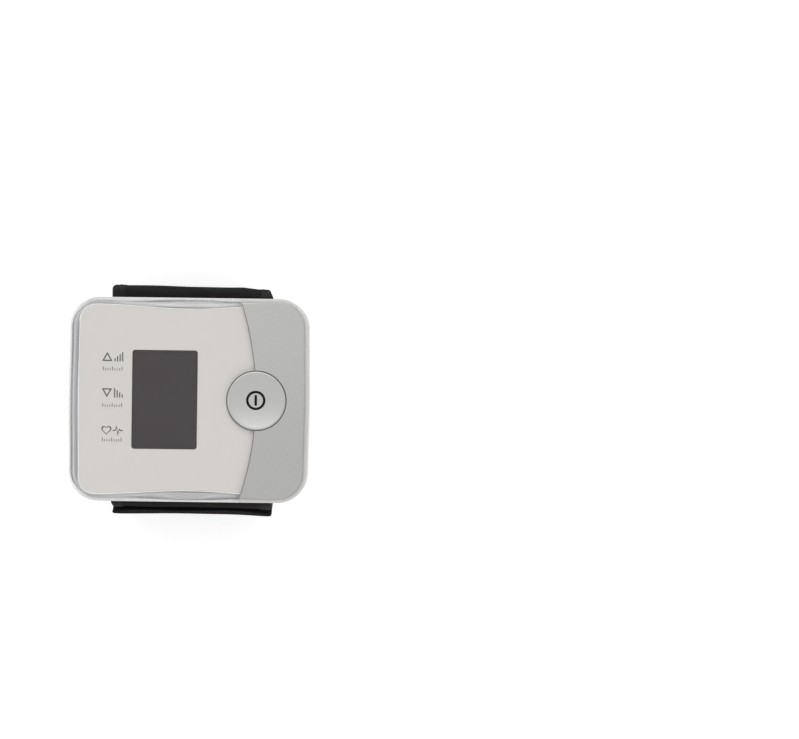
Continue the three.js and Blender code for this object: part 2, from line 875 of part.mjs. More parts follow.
function airManifold() {
  const reach = hubRadius + nippleLength;
  const arms = [
    barX(nippleRadius, -reach, reach, portY, manifoldZ),
    barY(nippleRadius, 0, portY - reach, portY, manifoldZ),
    bar(nippleRadius, 0, portY, manifoldZ - reach, manifoldZ),
  ];
  const bores = [
    barX(nippleBoreRadius, -reach - overrun, reach + overrun, portY, manifoldZ),
    barY(nippleBoreRadius, 0, portY - reach - overrun, portY, manifoldZ),
    bar(nippleBoreRadius, 0, portY, manifoldZ - reach - overrun, manifoldZ),
  ];
  return cut(join(bar(hubRadius, 0, portY, hubBottomZ, hubTopZ), ...arms), ...bores);
}

// The nipple on the bladder that comes up through the housing floor.
function cuffPort() {
  const bottom = loopTop - bladderDepth + 2 * layerGap;
  const profile = [
    [0, bottom],
    [portFlangeRadius, bottom],
    [portFlangeRadius, bottom + portFlangeThickness],
    [nippleRadius, bottom + portFlangeThickness],
    [nippleRadius, portTop],
    [nippleBoreRadius, portTop],
    [nippleBoreRadius, bottom + portFlangeThickness / 2],
    [0, bottom + portFlangeThickness / 2],
  ];
  return turned(profile, 0, portY, smallRoundSteps);
}

// The tubes slip over the nipples and stop just short of what carries them.
const tubeStop = hubRadius + 2 * fitGap;
const tubeRoutes = {
  tube_pump: [
    [pumpFrontX + 2 * fitGap, pumpY, pumpZ],
    [pumpFrontX + nippleLength, pumpY, pumpZ],
    [pumpFrontX + tubeBendLength, pumpY - tubeBendLength / 2, pumpZ],
    [pumpFrontX + tubeBendLength, portY + tubeBendLength / 2, manifoldZ],
    [pumpFrontX, portY, manifoldZ],
    [hubRadius + nippleLength, portY, manifoldZ],
    [tubeStop, portY, manifoldZ],
  ],
  tube_valve: [
    [valveFrontX + 2 * fitGap, portY, manifoldZ],
    [-tubeStop, portY, manifoldZ],
  ],
  tube_sensor: [
    [0, sensorFrontY + 2 * fitGap, sensorNippleZ],
    [0, sensorFrontY + nippleLength, sensorNippleZ],
    [0, portY - hubRadius - nippleLength, manifoldZ],
    [0, portY - tubeStop, manifoldZ],
  ],
  tube_cuff: [
    [0, portY, loopTop + fitGap + saddleWall + 2 * fitGap],
    [0, portY, manifoldZ - tubeStop],
  ],
};

// Rear of the housing, below the parting line: a tub with a saddle for the cuff and a battery bay
const sideY = -bodyWidth / 2;
const channelHalf = cuffWidth / 2 + fitGap;
const guardTop = loopTop + fitGap + saddleWall;
const upperCellZ = lowerCellZ + cellPitch;
const bayLowZ = lowerCellZ - cellRadius - fitGap;
const bayHighZ = upperCellZ + cellRadius + fitGap;
const bayInnerY = cellY + cellRadius + fitGap;
const doorInnerY = sideY + doorThickness;
const plateThrough = guardTop + overrun;

function rearEnvelope() {
  const ring = (inset, z) => bodyOutline(inset).map((p) => new THREE.Vector3(p.x, p.y, z));
  const rings = [];
  for (let i = 0; i <= bevelSteps; i++) {
    const angle = (i / bevelSteps) * (Math.PI / 2);
    const inset = rearEdgeRound * (1 - Math.sin(angle));
    rings.push(ring(inset, rearEdgeHeight + rearEdgeRound * (1 - Math.cos(angle))));
  }
  rings.push(ring(0, partingHeight));
  return skin(rings, bodyOutline(0));
}

// A shallow finger scoop across the end of the battery door.
function doorScoop() {
  const centreX = bayHalfLength + doorLap;
  return bar(scoopRadius, centreX, sideY - scoopRadius + scoopDepth, lowerCellZ, upperCellZ, roundSteps);
}

function rearHousing() {
  const outside = rearEnvelope();
  const guard = loopBar(fitGap + saddleWall, channelHalf + saddleWall).intersect(outside);
  const bayBox = block(
    -bayHalfLength - bayWall,
    bayHalfLength + bayWall,
    sideY + housingWall / 2,
    bayInnerY + bayWall,
    rearEdgeHeight + rearEdgeRound,
    bayHighZ + bayWall,
  );
  const bay = block(-bayHalfLength, bayHalfLength, sideY - overrun, bayInnerY, bayLowZ, bayHighZ);
  const tub = prism(bodyOutline(housingWall), rearEdgeHeight + housingWall, partingHeight + overrun);
  const shelf = cut(
    prism(bodyOutline(housingWall / 2), partingHeight - shelfThickness, partingHeight),
    prism(bodyOutline(shelfDepth), partingHeight - shelfThickness - overrun, partingHeight + overrun),
  );
  const doorSeat = block(
    -bayHalfLength - doorLap - fitGap,
    bayHalfLength + doorLap + fitGap,
    sideY - overrun,
    doorInnerY + layerGap,
    bayLowZ - doorLapZ - fitGap,
    bayHighZ + doorLapZ + fitGap,
  );
  const rib = (x, lowY, highY, high) =>
    block(x - ribThickness / 2, x + ribThickness / 2, lowY, highY, rearEdgeHeight + housingWall / 2, high);
  const cellRibs = cellRibShares.map((share) =>
    rib(
      share * bayHalfLength,
      doorInnerY + doorSkirtDepth + fitGap,
      bayInnerY + bayWall / 2,
      lowerCellZ - cellRadius / 4,
    ),
  );
  const pumpRibs = pumpRibShares.map((share) =>
    rib(
      pumpRearX + share * motorLength,
      pumpY - sleeveRadius * pumpRibSpanShare,
      pumpY + sleeveRadius * pumpRibSpanShare,
      pumpZ - sleeveRadius / 4,
    ),
  );
  const bosses = caseScrewPlaces.map(([x, y]) =>
    bar(caseBossRadius, x, y, rearEdgeHeight + housingWall / 2, partingHeight),
  );
  const screwHoles = caseScrewPlaces.flatMap(([x, y]) => [
    bar(caseScrew.radius + fitGap, x, y, rearEdgeHeight - overrun, partingHeight + overrun),
    bar(caseScrew.headRadius + fitGap, x, y, rearEdgeHeight - overrun, rearEdgeHeight + caseScrewSink),
  ]);
  const cuffHoles = [-cuffBossX, cuffBossX].map((x) =>
    bar(cuffBossRadius + fitGap, x, 0, loopTop - overrun, plateThrough),
  );
  return cut(
    join(cut(join(cut(outside, tub), bayBox, shelf), bay), guard, ...cellRibs, ...pumpRibs, ...bosses),
    loopBar(fitGap, channelHalf),
    doorSeat,
    doorScoop(),
    barX(cellRadius + fitGap, -bayHalfLength, bayHalfLength, cellY, lowerCellZ, roundSteps),
    barX(sleeveRadius + fitGap, pumpRearX, pumpFrontX, pumpY, pumpZ, roundSteps),
    ...screwHoles,
    ...cuffHoles,
    bar(nippleRadius + 2 * fitGap, 0, portY, loopTop - 2 * overrun, plateThrough),
  );
}

// The battery door: a plate flush with the housing's side, with a skirt that enters the bay
function batteryDoor() {
  const halfLength = bayHalfLength + doorLap;
  const plateSolid = block(
    -halfLength,
    halfLength,
    sideY,
    doorInnerY,
    bayLowZ - doorLapZ,
    bayHighZ + doorLapZ,
  );
  const skirtHalf = bayHalfLength - fitGap;
  const skirt = cut(
    block(
      -skirtHalf,
      skirtHalf,
      doorInnerY - doorThickness / 2,
      doorInnerY + doorSkirtDepth,
      bayLowZ + fitGap,
      bayHighZ - fitGap,
    ),
    block(
      doorSkirtWall - skirtHalf,
      skirtHalf - doorSkirtWall,
      doorInnerY,
      doorInnerY + doorSkirtDepth + overrun,
      bayLowZ + fitGap + doorSkirtWall,
      bayHighZ - fitGap - doorSkirtWall,
    ),
  );
  return cut(join(plateSolid, skirt), doorScoop());
}

// The cells lie one over the other, head to tail. Side is 1 where the nub points along +X.
function cell(side, z) {
  const tip = side * (contactInnerX - fitGap);
  const shoulder = tip - side * cellNubLength;
  const tail = tip - side * cellLength;
  const nubRoot = shoulder - side * overrun;
  return join(
    barX(cellRadius, Math.min(shoulder, tail), Math.max(shoulder, tail), cellY, z, roundSteps),
    barX(cellNubRadius, Math.min(nubRoot, tip), Math.max(nubRoot, tip), cellY, z, smallRoundSteps),
  );
}

// A contact sheet against one end wall of the bay, between two heights.
function contactSheet(side, low, high) {
  const near = side * contactInnerX;
  const far = side * (contactInnerX + contactThickness);
  return block(
    Math.min(near, far),
    Math.max(near, far),
    cellY - contactHalfWidth,
    cellY + contactHalfWidth * contactInnerShare,
    low,
    high,
  );
}

// The middle line of a cone-shaped contact spring, from the sheet to the flat end of the cell.
function springLine(side, z) {
  const from = contactInnerX - fitGap - springWireRadius;
  const to = cellLength - (contactInnerX - fitGap) + fitGap + springWireRadius;
  const points = [];
  const steps = springTurns * springTurnSteps;
  for (let i = 0; i <= steps; i++) {
    const share = i / steps;
    const angle = (i / springTurnSteps) * 2 * Math.PI;
    const radius = springWideRadius + share * (springNarrowRadius - springWideRadius);
    const x = side * (from + share * (to - from));
    points.push([x, cellY + radius * Math.cos(angle), z + radius * Math.sin(angle)]);
  }
  return points;
}

// The least clear distance between two turns of a coil, measured on its points.
function leastTurnGap(points, turnSteps, radius) {
  let least = Infinity;
  for (let i = 0; i < points.length; i++)
    for (let j = i + Math.ceil(turnSteps / 2); j < points.length; j++)
      least = Math.min(least, Math.hypot(...points[i].map((value, axis) => value - points[j][axis])));
  return least - 2 * radius;
}

// The cuff. Depths count inwards from its outer surface.
const curlerDepth = outerCoverThickness + layerGap;
const bladderDepth = curlerDepth + curlerThickness + layerGap;
const liningDepth = bladderDepth + bladderThickness + layerGap;
const cuffDepth = liningDepth + innerCoverThickness;
const rootStart = hingeGap / 2;
const rootEnd = loopLength - armLength - endGap;
const armStart = -armLength;
const armEnd = -hingeGap / 2;
const pocketHalf = cuffWidth / 2 - coverLip;

// An outer cover with its two lips and a hem at its free end. Hem is 1 at the far end or -1 at the near one.
function cuffCover(from, to, hem, steps) {
  const outside = band(from, to, () => coverSection(cuffWidth / 2, cuffDepth, coverEdgeRound), steps);
  const pocket = band(
    hem < 0 ? from + coverLip : from - overrun,
    hem > 0 ? to - coverLip : to + overrun,
    () => stripSection(pocketHalf, outerCoverThickness, cuffDepth + overrun),
    steps,
  );
  return cut(outside, pocket);
}

// The lengths between which a layer lies in its cover's pocket.
function layerSpan(from, to, hem) {
  return [hem < 0 ? from + coverLip + layerGap : from, hem > 0 ? to - coverLip - layerGap : to];
}

function cuffLayer(from, to, hem, halfWidth, depth, thickness, steps) {
  const [start, end] = layerSpan(from, to, hem);
  return band(start, end, () => stripSection(halfWidth, depth, depth + thickness), steps);
}

function cuffLining(from, to, hem, steps) {
  const [start, end] = layerSpan(from, to, hem);
  const section = crownedSection(pocketHalf - layerGap, liningDepth, cuffDepth, innerCoverCrown);
  return band(start, end, () => section, steps);
}

// The part of the cuff that is fixed under the housing, with two posts and the air port through its cover.
function fixedCover() {
  const low = loopTop - bladderDepth;
  const posts = [-cuffBossX, cuffBossX].map((x) =>
    bar(cuffBossRadius + fitGap, x, 0, low, loopTop + overrun),
  );
  const port = bar(portFlangeRadius + fitGap, 0, portY, low, loopTop + overrun);
  return cut(cuffCover(rootStart, rootEnd, 1, rootSteps), ...posts, port);
}

function fixedCurler() {
  const sheet = cuffLayer(rootStart, rootEnd, 1, curlerWidth / 2, curlerDepth, curlerThickness, rootSteps);
  const low = loopTop - curlerDepth - curlerThickness / 2;
  const posts = [-cuffBossX, cuffBossX].map((x) => bar(cuffBossRadius, x, 0, low, loopTop + saddleWall));
  const bores = [-cuffBossX, cuffBossX].map((x) =>
    bar(retainerScrew.radius + fitGap, x, 0, loopTop - curlerDepth, plateThrough),
  );
  const port = bar(portFlangeRadius + fitGap, 0, portY, loopTop - liningDepth, loopTop);
  return cut(join(sheet, ...posts), ...bores, port);
}

function fixedBladder() {
  return cuffLayer(rootStart, rootEnd, 1, bladderWidth / 2, bladderDepth, bladderThickness, rootSteps);
}

function armCover() {
  const under = block(
    -cuffWidth,
    cuffWidth,
    -loopOverall,
    loopOverall,
    -loopFlatHeight - overrun,
    0,
  );
  return cut(cuffCover(armStart, armEnd, -1, armSteps), under);
}

// The strap lies outside the cuff, so its depths are less than zero.
const strapBodyDepth = -layerGap - hookThickness - layerGap;
const strapOuterDepth = strapBodyDepth - strapThickness;
const strapStart = armStart - hingeGap;
const strapEnd = armStart + strapSewnLength - strapLength;

// The piece sewn to the end of the arm. It thickens towards the hinge line to meet the free strap.
function strapBase() {
  const section = (share) => {
    const outer = -layerGap - strapThickness + (1 - share) * (strapOuterDepth + layerGap + strapThickness);
    return stripSection(strapWidth / 2, outer, -layerGap);
  };
  return band(armStart, armStart + strapSewnLength, section, strapSewnSteps);
}

// The free strap, with rounded corners at its end.
function strapTail() {
  const length = strapStart - strapEnd;
  const section = (share) => {
    const into = Math.max(strapCorner - share * length, 0);
    const drawnIn = strapCorner - Math.sqrt(Math.max(strapCorner ** 2 - into ** 2, 0));
    return stripSection(strapWidth / 2 - drawnIn, strapOuterDepth, strapBodyDepth);
  };
  return band(strapEnd, strapStart, section, strapTailSteps);
}

function hookPatch() {
  const from = strapEnd + strapCorner / 2 + hookMargin / 2;
  const to = strapStart - endGap;
  const section = () =>
    stripSection(strapWidth / 2 - hookMargin - strapCorner / 4, -layerGap - hookThickness, -layerGap);
  return band(from, to, section, hookSteps);
}

const assembly = new THREE.Group();
function place(name, made, material) {
  const mesh = new THREE.Mesh(geometryOf(made), material);
  mesh.name = name;
  assembly.add(mesh);
}

place("rear_housing", rearHousing(), whitePlastic);
place("front_housing", frontHousing(), silverPaint);
place("clear_cover", clearCover(), clearPlastic);
place("face_panel", facePanel(), creamPrint);
place("power_button", powerButton(), silverPaint);
place("button_switch", buttonSwitch(), blackPlastic);
place("switch_plunger", bar(plungerRadius, buttonX, 0, plungerBottom, plungerTop), whiteInner);
place("display_glass", displayGlass(), displayGlassDark);
place("display_frame", displayFrame(), whiteInner);
place("contact_strip_upper", contactStrip(1), rubberGrey);
place("contact_strip_lower", contactStrip(-1), rubberGrey);
place("main_board", mainBoard(), boardGreen);
const chip = underBoard(chipX, chipY, chipWidth, chipWidth, chipHeight);
place("processor_chip", chip, blackPlastic);
place("buzzer", buzzer(), blackPlastic);
place("pressure_sensor", pressureSensor(), whiteInner);
place("pump_motor", pumpMotor(), steel);
place("pump_head", pumpHead(), blackPlastic);
place("pump_sleeve", pumpSleeve(), blackFoam);
place("release_valve", releaseValve(), steel);
place("air_manifold", airManifold(), whiteInner);
place("cuff_port", cuffPort(), whiteInner);
for (const [name, points] of Object.entries(tubeRoutes)) {
  const steps = (points.length - 1) * tubeSpanSteps;
  place(name, wire(points, tubeRadius, tubeSides, steps, tubeBoreRadius), siliconeRubber);
}

caseScrewPlaces.forEach(([x, y], i) => {
  const seat = rearEdgeHeight + caseScrewSink - layerGap;
  const length = partingHeight + caseScrewGrip - fitGap - seat;
  place(`case_screw_${i + 1}`, screw(caseScrew, x, y, seat, length, 1), steel);
});
boardScrewPlaces.forEach(([x, y], i) => {
  const seat = boardBottom - layerGap;
  const length = boardTop + boardScrewGrip - fitGap - seat;
  place(`board_screw_${i + 1}`, screw(boardScrew, x, y, seat, length, 1), steel);
});

const retainerLow = guardTop + layerGap;
const retainerHigh = retainerLow + retainerThickness;
const retainerHoles = [-cuffBossX, cuffBossX].map((x) =>
  bar(retainerScrew.radius + fitGap, x, 0, retainerLow - overrun, retainerHigh + overrun),
);
const retainerSheet = prism(
  plate(retainerLength, retainerWidth, retainerWidth / 4, 0, 0),
  retainerLow,
  retainerHigh,
);
place("cuff_retainer", cut(retainerSheet, ...retainerHoles), steel);
[-cuffBossX, cuffBossX].forEach((x, i) => {
  const seat = retainerHigh + layerGap;
  const length = seat - loopTop + curlerDepth - fitGap;
  place(`retainer_screw_${i + 1}`, screw(retainerScrew, x, 0, seat, length, -1), steel);
});

place("battery_door", batteryDoor(), whitePlastic);
place("battery_lower", cell(1, lowerCellZ), cellLabel);
place("battery_upper", cell(-1, upperCellZ), cellLabel);
const sheetLow = lowerCellZ - contactHalfWidth;
const sheetHigh = upperCellZ + contactHalfWidth;
place("contact_bridge", contactSheet(-1, sheetLow, sheetHigh), steel);
place("contact_positive", contactSheet(1, sheetLow, lowerCellZ + contactHalfWidth), steel);
place("contact_negative", contactSheet(1, upperCellZ - contactHalfWidth, sheetHigh), steel);
const springs = { contact_spring_lower: [-1, lowerCellZ], contact_spring_upper: [1, upperCellZ] };
for (const [name, [side, z]] of Object.entries(springs)) {
  const points = springLine(side, z);
  place(name, wire(points, springWireRadius, springSides, points.length - 1), steel);
  const gap = leastTurnGap(points, springTurnSteps, springWireRadius);
  console.log(`${name}: least gap between turns ${gap.toFixed(2)} mm`);
}

place("cuff_cover", fixedCover(), blackFabric);
place("cuff_curler", fixedCurler(), curlerPlastic);
place("cuff_bladder", fixedBladder(), bladderFilm);
place("cuff_lining", cuffLining(rootStart, rootEnd, 1, rootSteps), liningFabric);
place("arm_cover", armCover(), blackFabric);
const armLayer = (width, depth, thickness) =>
  cuffLayer(armStart, armEnd, -1, width / 2, depth, thickness, armSteps);
place("arm_curler", armLayer(curlerWidth, curlerDepth, curlerThickness), curlerPlastic);
place("arm_bladder", armLayer(bladderWidth, bladderDepth, bladderThickness), bladderFilm);
place("arm_lining", cuffLining(armStart, armEnd, -1, armSteps), liningFabric);
place("strap_base", strapBase(), blackFabric);
place("strap_tail", strapTail(), blackFabric);
place("hook_patch", hookPatch(), hookFabric);

export default assembly;
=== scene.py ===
"""Wrist blood pressure monitor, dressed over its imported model.

Sizes are in millimetres unless a name or a docstring says otherwise.
"""
import logging
import math
from dataclasses import dataclass
from enum import Enum
from typing import Sequence

import bmesh
import bpy
import numpy as np
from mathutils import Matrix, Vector


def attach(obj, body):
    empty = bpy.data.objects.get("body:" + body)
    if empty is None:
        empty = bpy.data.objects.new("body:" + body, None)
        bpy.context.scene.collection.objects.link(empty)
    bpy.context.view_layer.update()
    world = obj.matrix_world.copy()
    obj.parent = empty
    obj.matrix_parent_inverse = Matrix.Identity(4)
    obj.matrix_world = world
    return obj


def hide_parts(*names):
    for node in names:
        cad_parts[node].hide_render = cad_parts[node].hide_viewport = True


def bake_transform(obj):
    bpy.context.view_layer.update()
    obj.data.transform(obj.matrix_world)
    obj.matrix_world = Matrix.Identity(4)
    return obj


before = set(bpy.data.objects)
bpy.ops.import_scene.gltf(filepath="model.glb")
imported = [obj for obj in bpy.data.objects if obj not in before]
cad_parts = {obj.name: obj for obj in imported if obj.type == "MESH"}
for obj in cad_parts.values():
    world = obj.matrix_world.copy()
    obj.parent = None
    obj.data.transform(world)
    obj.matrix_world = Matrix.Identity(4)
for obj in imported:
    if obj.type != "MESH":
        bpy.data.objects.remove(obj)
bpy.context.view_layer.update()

MM = 0.001
TURN = 2 * math.pi
log = logging.getLogger("wrist_monitor")

Colour = tuple[float, float, float]
Point = tuple[float, float, float]
BLACK: Colour = (0.0, 0.0, 0.0)
WHITE: Colour = (1.0, 1.0, 1.0)


# Shader tools


class Signal:
    """The value that a node's output gives, with arithmetic that adds Math nodes."""

    def __init__(self, recipe: "Recipe", socket: bpy.types.NodeSocket) -> None:
        """Keeps the output and the recipe that it belongs to."""
        self.recipe, self.socket = recipe, socket

    def maths(self, operation: str, *values: "Signal | float") -> "Signal":
        """Gives the result of a Math node on its inputs in order."""
        return self.recipe.signal("ShaderNodeMath", 0, dict(enumerate(values)), operation=operation)

    def __add__(self, other: "Signal | float") -> "Signal":
        """Gives self + other."""
        return self.maths("ADD", self, other)

    def __radd__(self, other: float) -> "Signal":
        """Gives other + self."""
        return self.maths("ADD", other, self)

    def __sub__(self, other: "Signal | float") -> "Signal":
        """Gives self - other."""
        return self.maths("SUBTRACT", self, other)

    def __rsub__(self, other: float) -> "Signal":
        """Gives other - self."""
        return self.maths("SUBTRACT", other, self)

    def __mul__(self, other: "Signal | float") -> "Signal":
        """Gives self * other."""
        return self.maths("MULTIPLY", self, other)

    def __rmul__(self, other: float) -> "Signal":
        """Gives other * self."""
        return self.maths("MULTIPLY", other, self)

    def wave(self, pitch: float) -> "Signal":
        """Gives a sine from 0 to 1 that repeats every pitch of the value."""
        return self.maths("SINE", self * (TURN / pitch)) * 0.5 + 0.5

    def rise(self, low: float, high: float) -> "Signal":
        """Gives 0 at low and 1 at high, with a smooth step between them."""
        ends = {0: self, 1: low, 2: high}
        return self.recipe.signal("ShaderNodeMapRange", 0, ends, interpolation_type="SMOOTHSTEP")


class Recipe:
    """The nodes of one material, or of the surround, while they are put together."""

    def __init__(self, owner: bpy.types.Material | bpy.types.World, output: str) -> None:
        """Empties the owner's nodes and adds an output node of the named type.

        Args:
            owner: The material or the surround.
            output: The output node's type.
        """
        owner.use_nodes = True
        self.tree = owner.node_tree
        self.tree.nodes.clear()
        self.surface = self.tree.nodes.new(output).inputs["Surface"]

    def node(
        self, kind: str, sockets: dict[str | int, object] | None = None, **settings: object
    ) -> bpy.types.Node:
        """Adds any node.

        Args:
            kind: The node's type.
            sockets: Values or signals for its inputs, by name or number.
            **settings: Its properties, which are set first.

        Returns:
            The new node.
        """
        made = self.tree.nodes.new(kind)
        for name, value in settings.items():
            setattr(made, name, value)
        for key, value in (sockets or {}).items():
            socket = made.inputs[key]
            if isinstance(value, Signal):
                self.tree.links.new(value.socket, socket)
            else:
                socket.default_value = (*value, 1.0) if socket.type == "RGBA" else value
        return made

    def signal(
        self,
        kind: str,
        output: str | int = 0,
        sockets: dict[str | int, object] | None = None,
        **settings: object,
    ) -> Signal:
        """Adds a node as node() does and gives one of its outputs, by name or number."""
        return Signal(self, self.node(kind, sockets, **settings).outputs[output])

    def place(self) -> Signal:
        """Gives the point on the object, in metres."""
        return self.signal("ShaderNodeTexCoord", "Object")

    def cloth_place(self) -> Signal:
        """Gives the point on the cloth, in millimetres along it and across it."""
        return self.signal("ShaderNodeTexCoord", "UV")

    def ray(self, kind: str) -> Signal:
        """Gives 1 where the ray is of a kind, such as Shadow or Camera."""
        return self.signal("ShaderNodeLightPath", f"Is {kind} Ray")

    def split(self, vector: Signal) -> list[Signal]:
        """Gives a vector's three parts."""
        return [Signal(self, part) for part in self.node("ShaderNodeSeparateXYZ", {0: vector}).outputs]

    def noise(
        self, at: Signal, scale: float | Point, detail: float = 2.0, rough: float = 0.5
    ) -> Signal:
        """Gives soft noise from 0 to 1.

        Args:
            at: Where it is read.
            scale: How many features there are to a unit of length, or to one of each axis.
            detail: How many finer layers are added.
            rough: How strong the finer layers are.

        Returns:
            The noise.
        """
        if isinstance(scale, tuple):
            at, scale = self.signal("ShaderNodeMapping", 0, {"Vector": at, "Scale": scale}), 1.0
        sockets = {"Vector": at, "Scale": scale, "Detail": detail, "Roughness": rough}
        return self.signal("ShaderNodeTexNoise", 0, sockets)

    def cells(
        self,
        at: Signal,
        scale: float,
        spread: float = 1.0,
        feature: str = "F1",
        output: str = "Distance",
    ) -> Signal:
        """Gives the distance to the nearest cell of a Voronoi pattern, or another of its outputs."""
        sockets = {"Vector": at, "Scale": scale, "Randomness": spread}
        return self.signal("ShaderNodeTexVoronoi", output, sockets, feature=feature)

    def mix(self, share: Signal | float, first: Signal | Colour, second: Signal | Colour) -> Signal:
        """Gives first where share is 0 and second where it is 1."""
        return self.signal("ShaderNodeMix", 2, {0: share, 6: first, 7: second}, data_type="RGBA")

    def bump(self, height: Signal, depth: float, strength: float, under: Signal | None = None) -> Signal:
        """Gives a normal bent by a height.

        Args:
            height: The height, from 0 to 1.
            depth: What a height of 1 stands for, in metres.
            strength: How much of it shows.
            under: A normal that it is added to.

        Returns:
            The normal.
        """
        sockets = {"Height": height, "Distance": depth, "Strength": strength}
        if under is not None:
            sockets["Normal"] = under
        return self.signal("ShaderNodeBump", 0, sockets)

    def principled(self, **sockets: object) -> bpy.types.Node:
        """Adds a Principled BSDF. Socket names have _ in place of a space."""
        named = {name.replace("_", " "): value for name, value in sockets.items()}
        return self.node("ShaderNodeBsdfPrincipled", named)

    def choose(self, share: Signal, first: bpy.types.Node, second: bpy.types.Node) -> bpy.types.Node:
        """Gives the first shader where share is 0 and the second where it is 1."""
        shaders = (Signal(self, shader.outputs[0]) for shader in (first, second))
        return self.node("ShaderNodeMixShader", dict(enumerate((share, *shaders))))

    def finish(self, shader: bpy.types.Node) -> None:
        """Joins a shader to the output."""
        self.tree.links.new(shader.outputs[0], self.surface)


# Finishes


@dataclass(frozen=True)
class Surface:
    """What every finish has: a name and a main colour."""

    name: str
    colour: Colour

    def tint(self, factor: float) -> Colour:
        """Gives the main colour made lighter or darker by a factor, up to white."""
        return tuple(min(part * factor, 1.0) for part in self.colour)

    def tones(self, recipe: Recipe, share: Signal, low: float, high: float) -> Signal:
        """Gives the main colour times low where share is 0 and times high where it is 1."""
        return recipe.mix(share, self.tint(low), self.tint(high))

    def shader(self, recipe: Recipe) -> bpy.types.Node:
        """Adds the finish's own nodes and gives their shader."""
        raise NotImplementedError

    def make(self) -> bpy.types.Material:
        """Builds the material."""
        material = bpy.data.materials.new(f"{self.name}_finish")
        recipe = Recipe(material, "ShaderNodeOutputMaterial")
        recipe.finish(self.shader(recipe))
        return material


@dataclass(frozen=True)
class MouldedPlastic(Surface):
    """Moulded plastic with a fine eroded grain, a slight drift of tone and a little handling shine.

    Its share of painted light is how much near white is mixed in away from the left-hand side, where the
    clear rim above it looks lit.
    """

    roughness: float = 0.42
    grain_depth: float = 0.000012
    grain_scale: float = 4200.0
    painted_light_share: float = 0.0

    def shader(self, recipe: Recipe) -> bpy.types.Node:
        """Gives the plastic's shader.

        Args:
            recipe: What its nodes are added to.

        Returns:
            The shader.
        """
        at = recipe.place()
        base = self.tones(recipe, recipe.noise(at, 45.0, 3.0), 0.97, 1.03)
        speck = recipe.noise(at, 1700.0, 1.0).rise(0.68, 0.8)
        base = recipe.mix(speck * 0.25, base, self.tint(0.86))
        if self.painted_light_share:
            # Painted light: near white mixed in away from the left-hand side, leaving the left in
            # painted shade.
            inward = recipe.split(at)[0].rise(-0.037, -0.02)
            base = recipe.mix(inward * self.painted_light_share, base, (0.97, 0.965, 0.96))
        grain, shine = recipe.noise(at, self.grain_scale, 2.0, 0.6), recipe.noise(at, 110.0, 4.0)
        return recipe.principled(
            Base_Color=base,
            Roughness=self.roughness + (shine - 0.5) * 0.16,
            Normal=recipe.bump(grain, self.grain_depth, 0.5),
            IOR=1.5,
        )


@dataclass(frozen=True)
class SatinPaint(Surface):
    """Satin silver paint: small metal flakes of uneven brightness under a thin clear layer.

    Towards -Y the coat is a little darker: painted shade where the light falls off.
    """

    roughness: float = 0.4
    metal: float = 0.3

    def shader(self, recipe: Recipe) -> bpy.types.Node:
        """Gives the paint's shader.

        Args:
            recipe: What its nodes are added to.

        Returns:
            The shader.
        """
        at = recipe.place()
        flake = recipe.split(recipe.cells(at, 7500.0, output="Color"))[0]
        base = self.tones(recipe, recipe.noise(at, 38.0, 3.0), 0.985, 1.015)
        base = recipe.mix(flake.rise(0.55, 1.0) * 0.5, base, self.tint(1.22))
        base = recipe.mix(flake.rise(0.45, 0.0) * 0.5, base, self.tint(0.84))
        # Painted shade: the coat is mixed a tenth of the way to black towards -Y, for the light falling
        # off down the face.
        upper = recipe.split(at)[1].rise(-0.04, 0.04)
        base = recipe.mix(upper, recipe.mix(0.1, base, BLACK), base)
        orange_peel, wear = recipe.noise(at, 900.0), recipe.noise(at, 90.0, 4.0)
        return recipe.principled(
            Base_Color=base,
            Metallic=self.metal + (flake - 0.5) * 0.12,
            Roughness=self.roughness + (wear - 0.5) * 0.1,
            Normal=recipe.bump(orange_peel, 0.000006, 0.35),
            Coat_Weight=0.18,
            Coat_Roughness=0.22,
        )


@dataclass(frozen=True)
class ClearAcrylic(Surface):
    """Polished clear acrylic. Light to and from what lies under it passes straight through."""

    def shader(self, recipe: Recipe) -> bpy.types.Node:
        """Gives the acrylic's shader.

        Args:
            recipe: What its nodes are added to.

        Returns:
            The shader.
        """
        smear = recipe.noise(recipe.place(), 130.0, 4.0, 0.6)
        glass = recipe.principled(
            Base_Color=self.tones(recipe, smear, 0.995, 1.0),
            Roughness=smear.rise(0.45, 0.9) * 0.012,
            IOR=1.49,
            Transmission_Weight=1.0,
        )
        through = recipe.node("ShaderNodeBsdfTransparent", {"Color": self.tint(0.97)})
        shadow = recipe.ray("Shadow")
        return recipe.choose(shadow.maths("MAXIMUM", shadow, recipe.ray("Diffuse")), glass, through)


@dataclass(frozen=True)
class PrintedSheet(Surface):
    """A smooth printed sheet: an even warm ink with a barely visible grain."""

    def shader(self, recipe: Recipe) -> bpy.types.Node:
        """Gives the sheet's shader.

        Args:
            recipe: What its nodes are added to.

        Returns:
            The shader.
        """
        at = recipe.place()
        base = self.tones(recipe, recipe.noise(at, 30.0), 0.985, 1.015)
        dots = recipe.noise(at, 6000.0, 1.0).rise(0.6, 0.8)
        return recipe.principled(
            Base_Color=recipe.mix(dots * 0.3, base, self.tint(0.95)),
            Roughness=0.5 + (recipe.noise(at, 200.0) - 0.5) * 0.1,
            Normal=recipe.bump(recipe.noise(at, 2600.0), 0.000004, 0.4),
        )


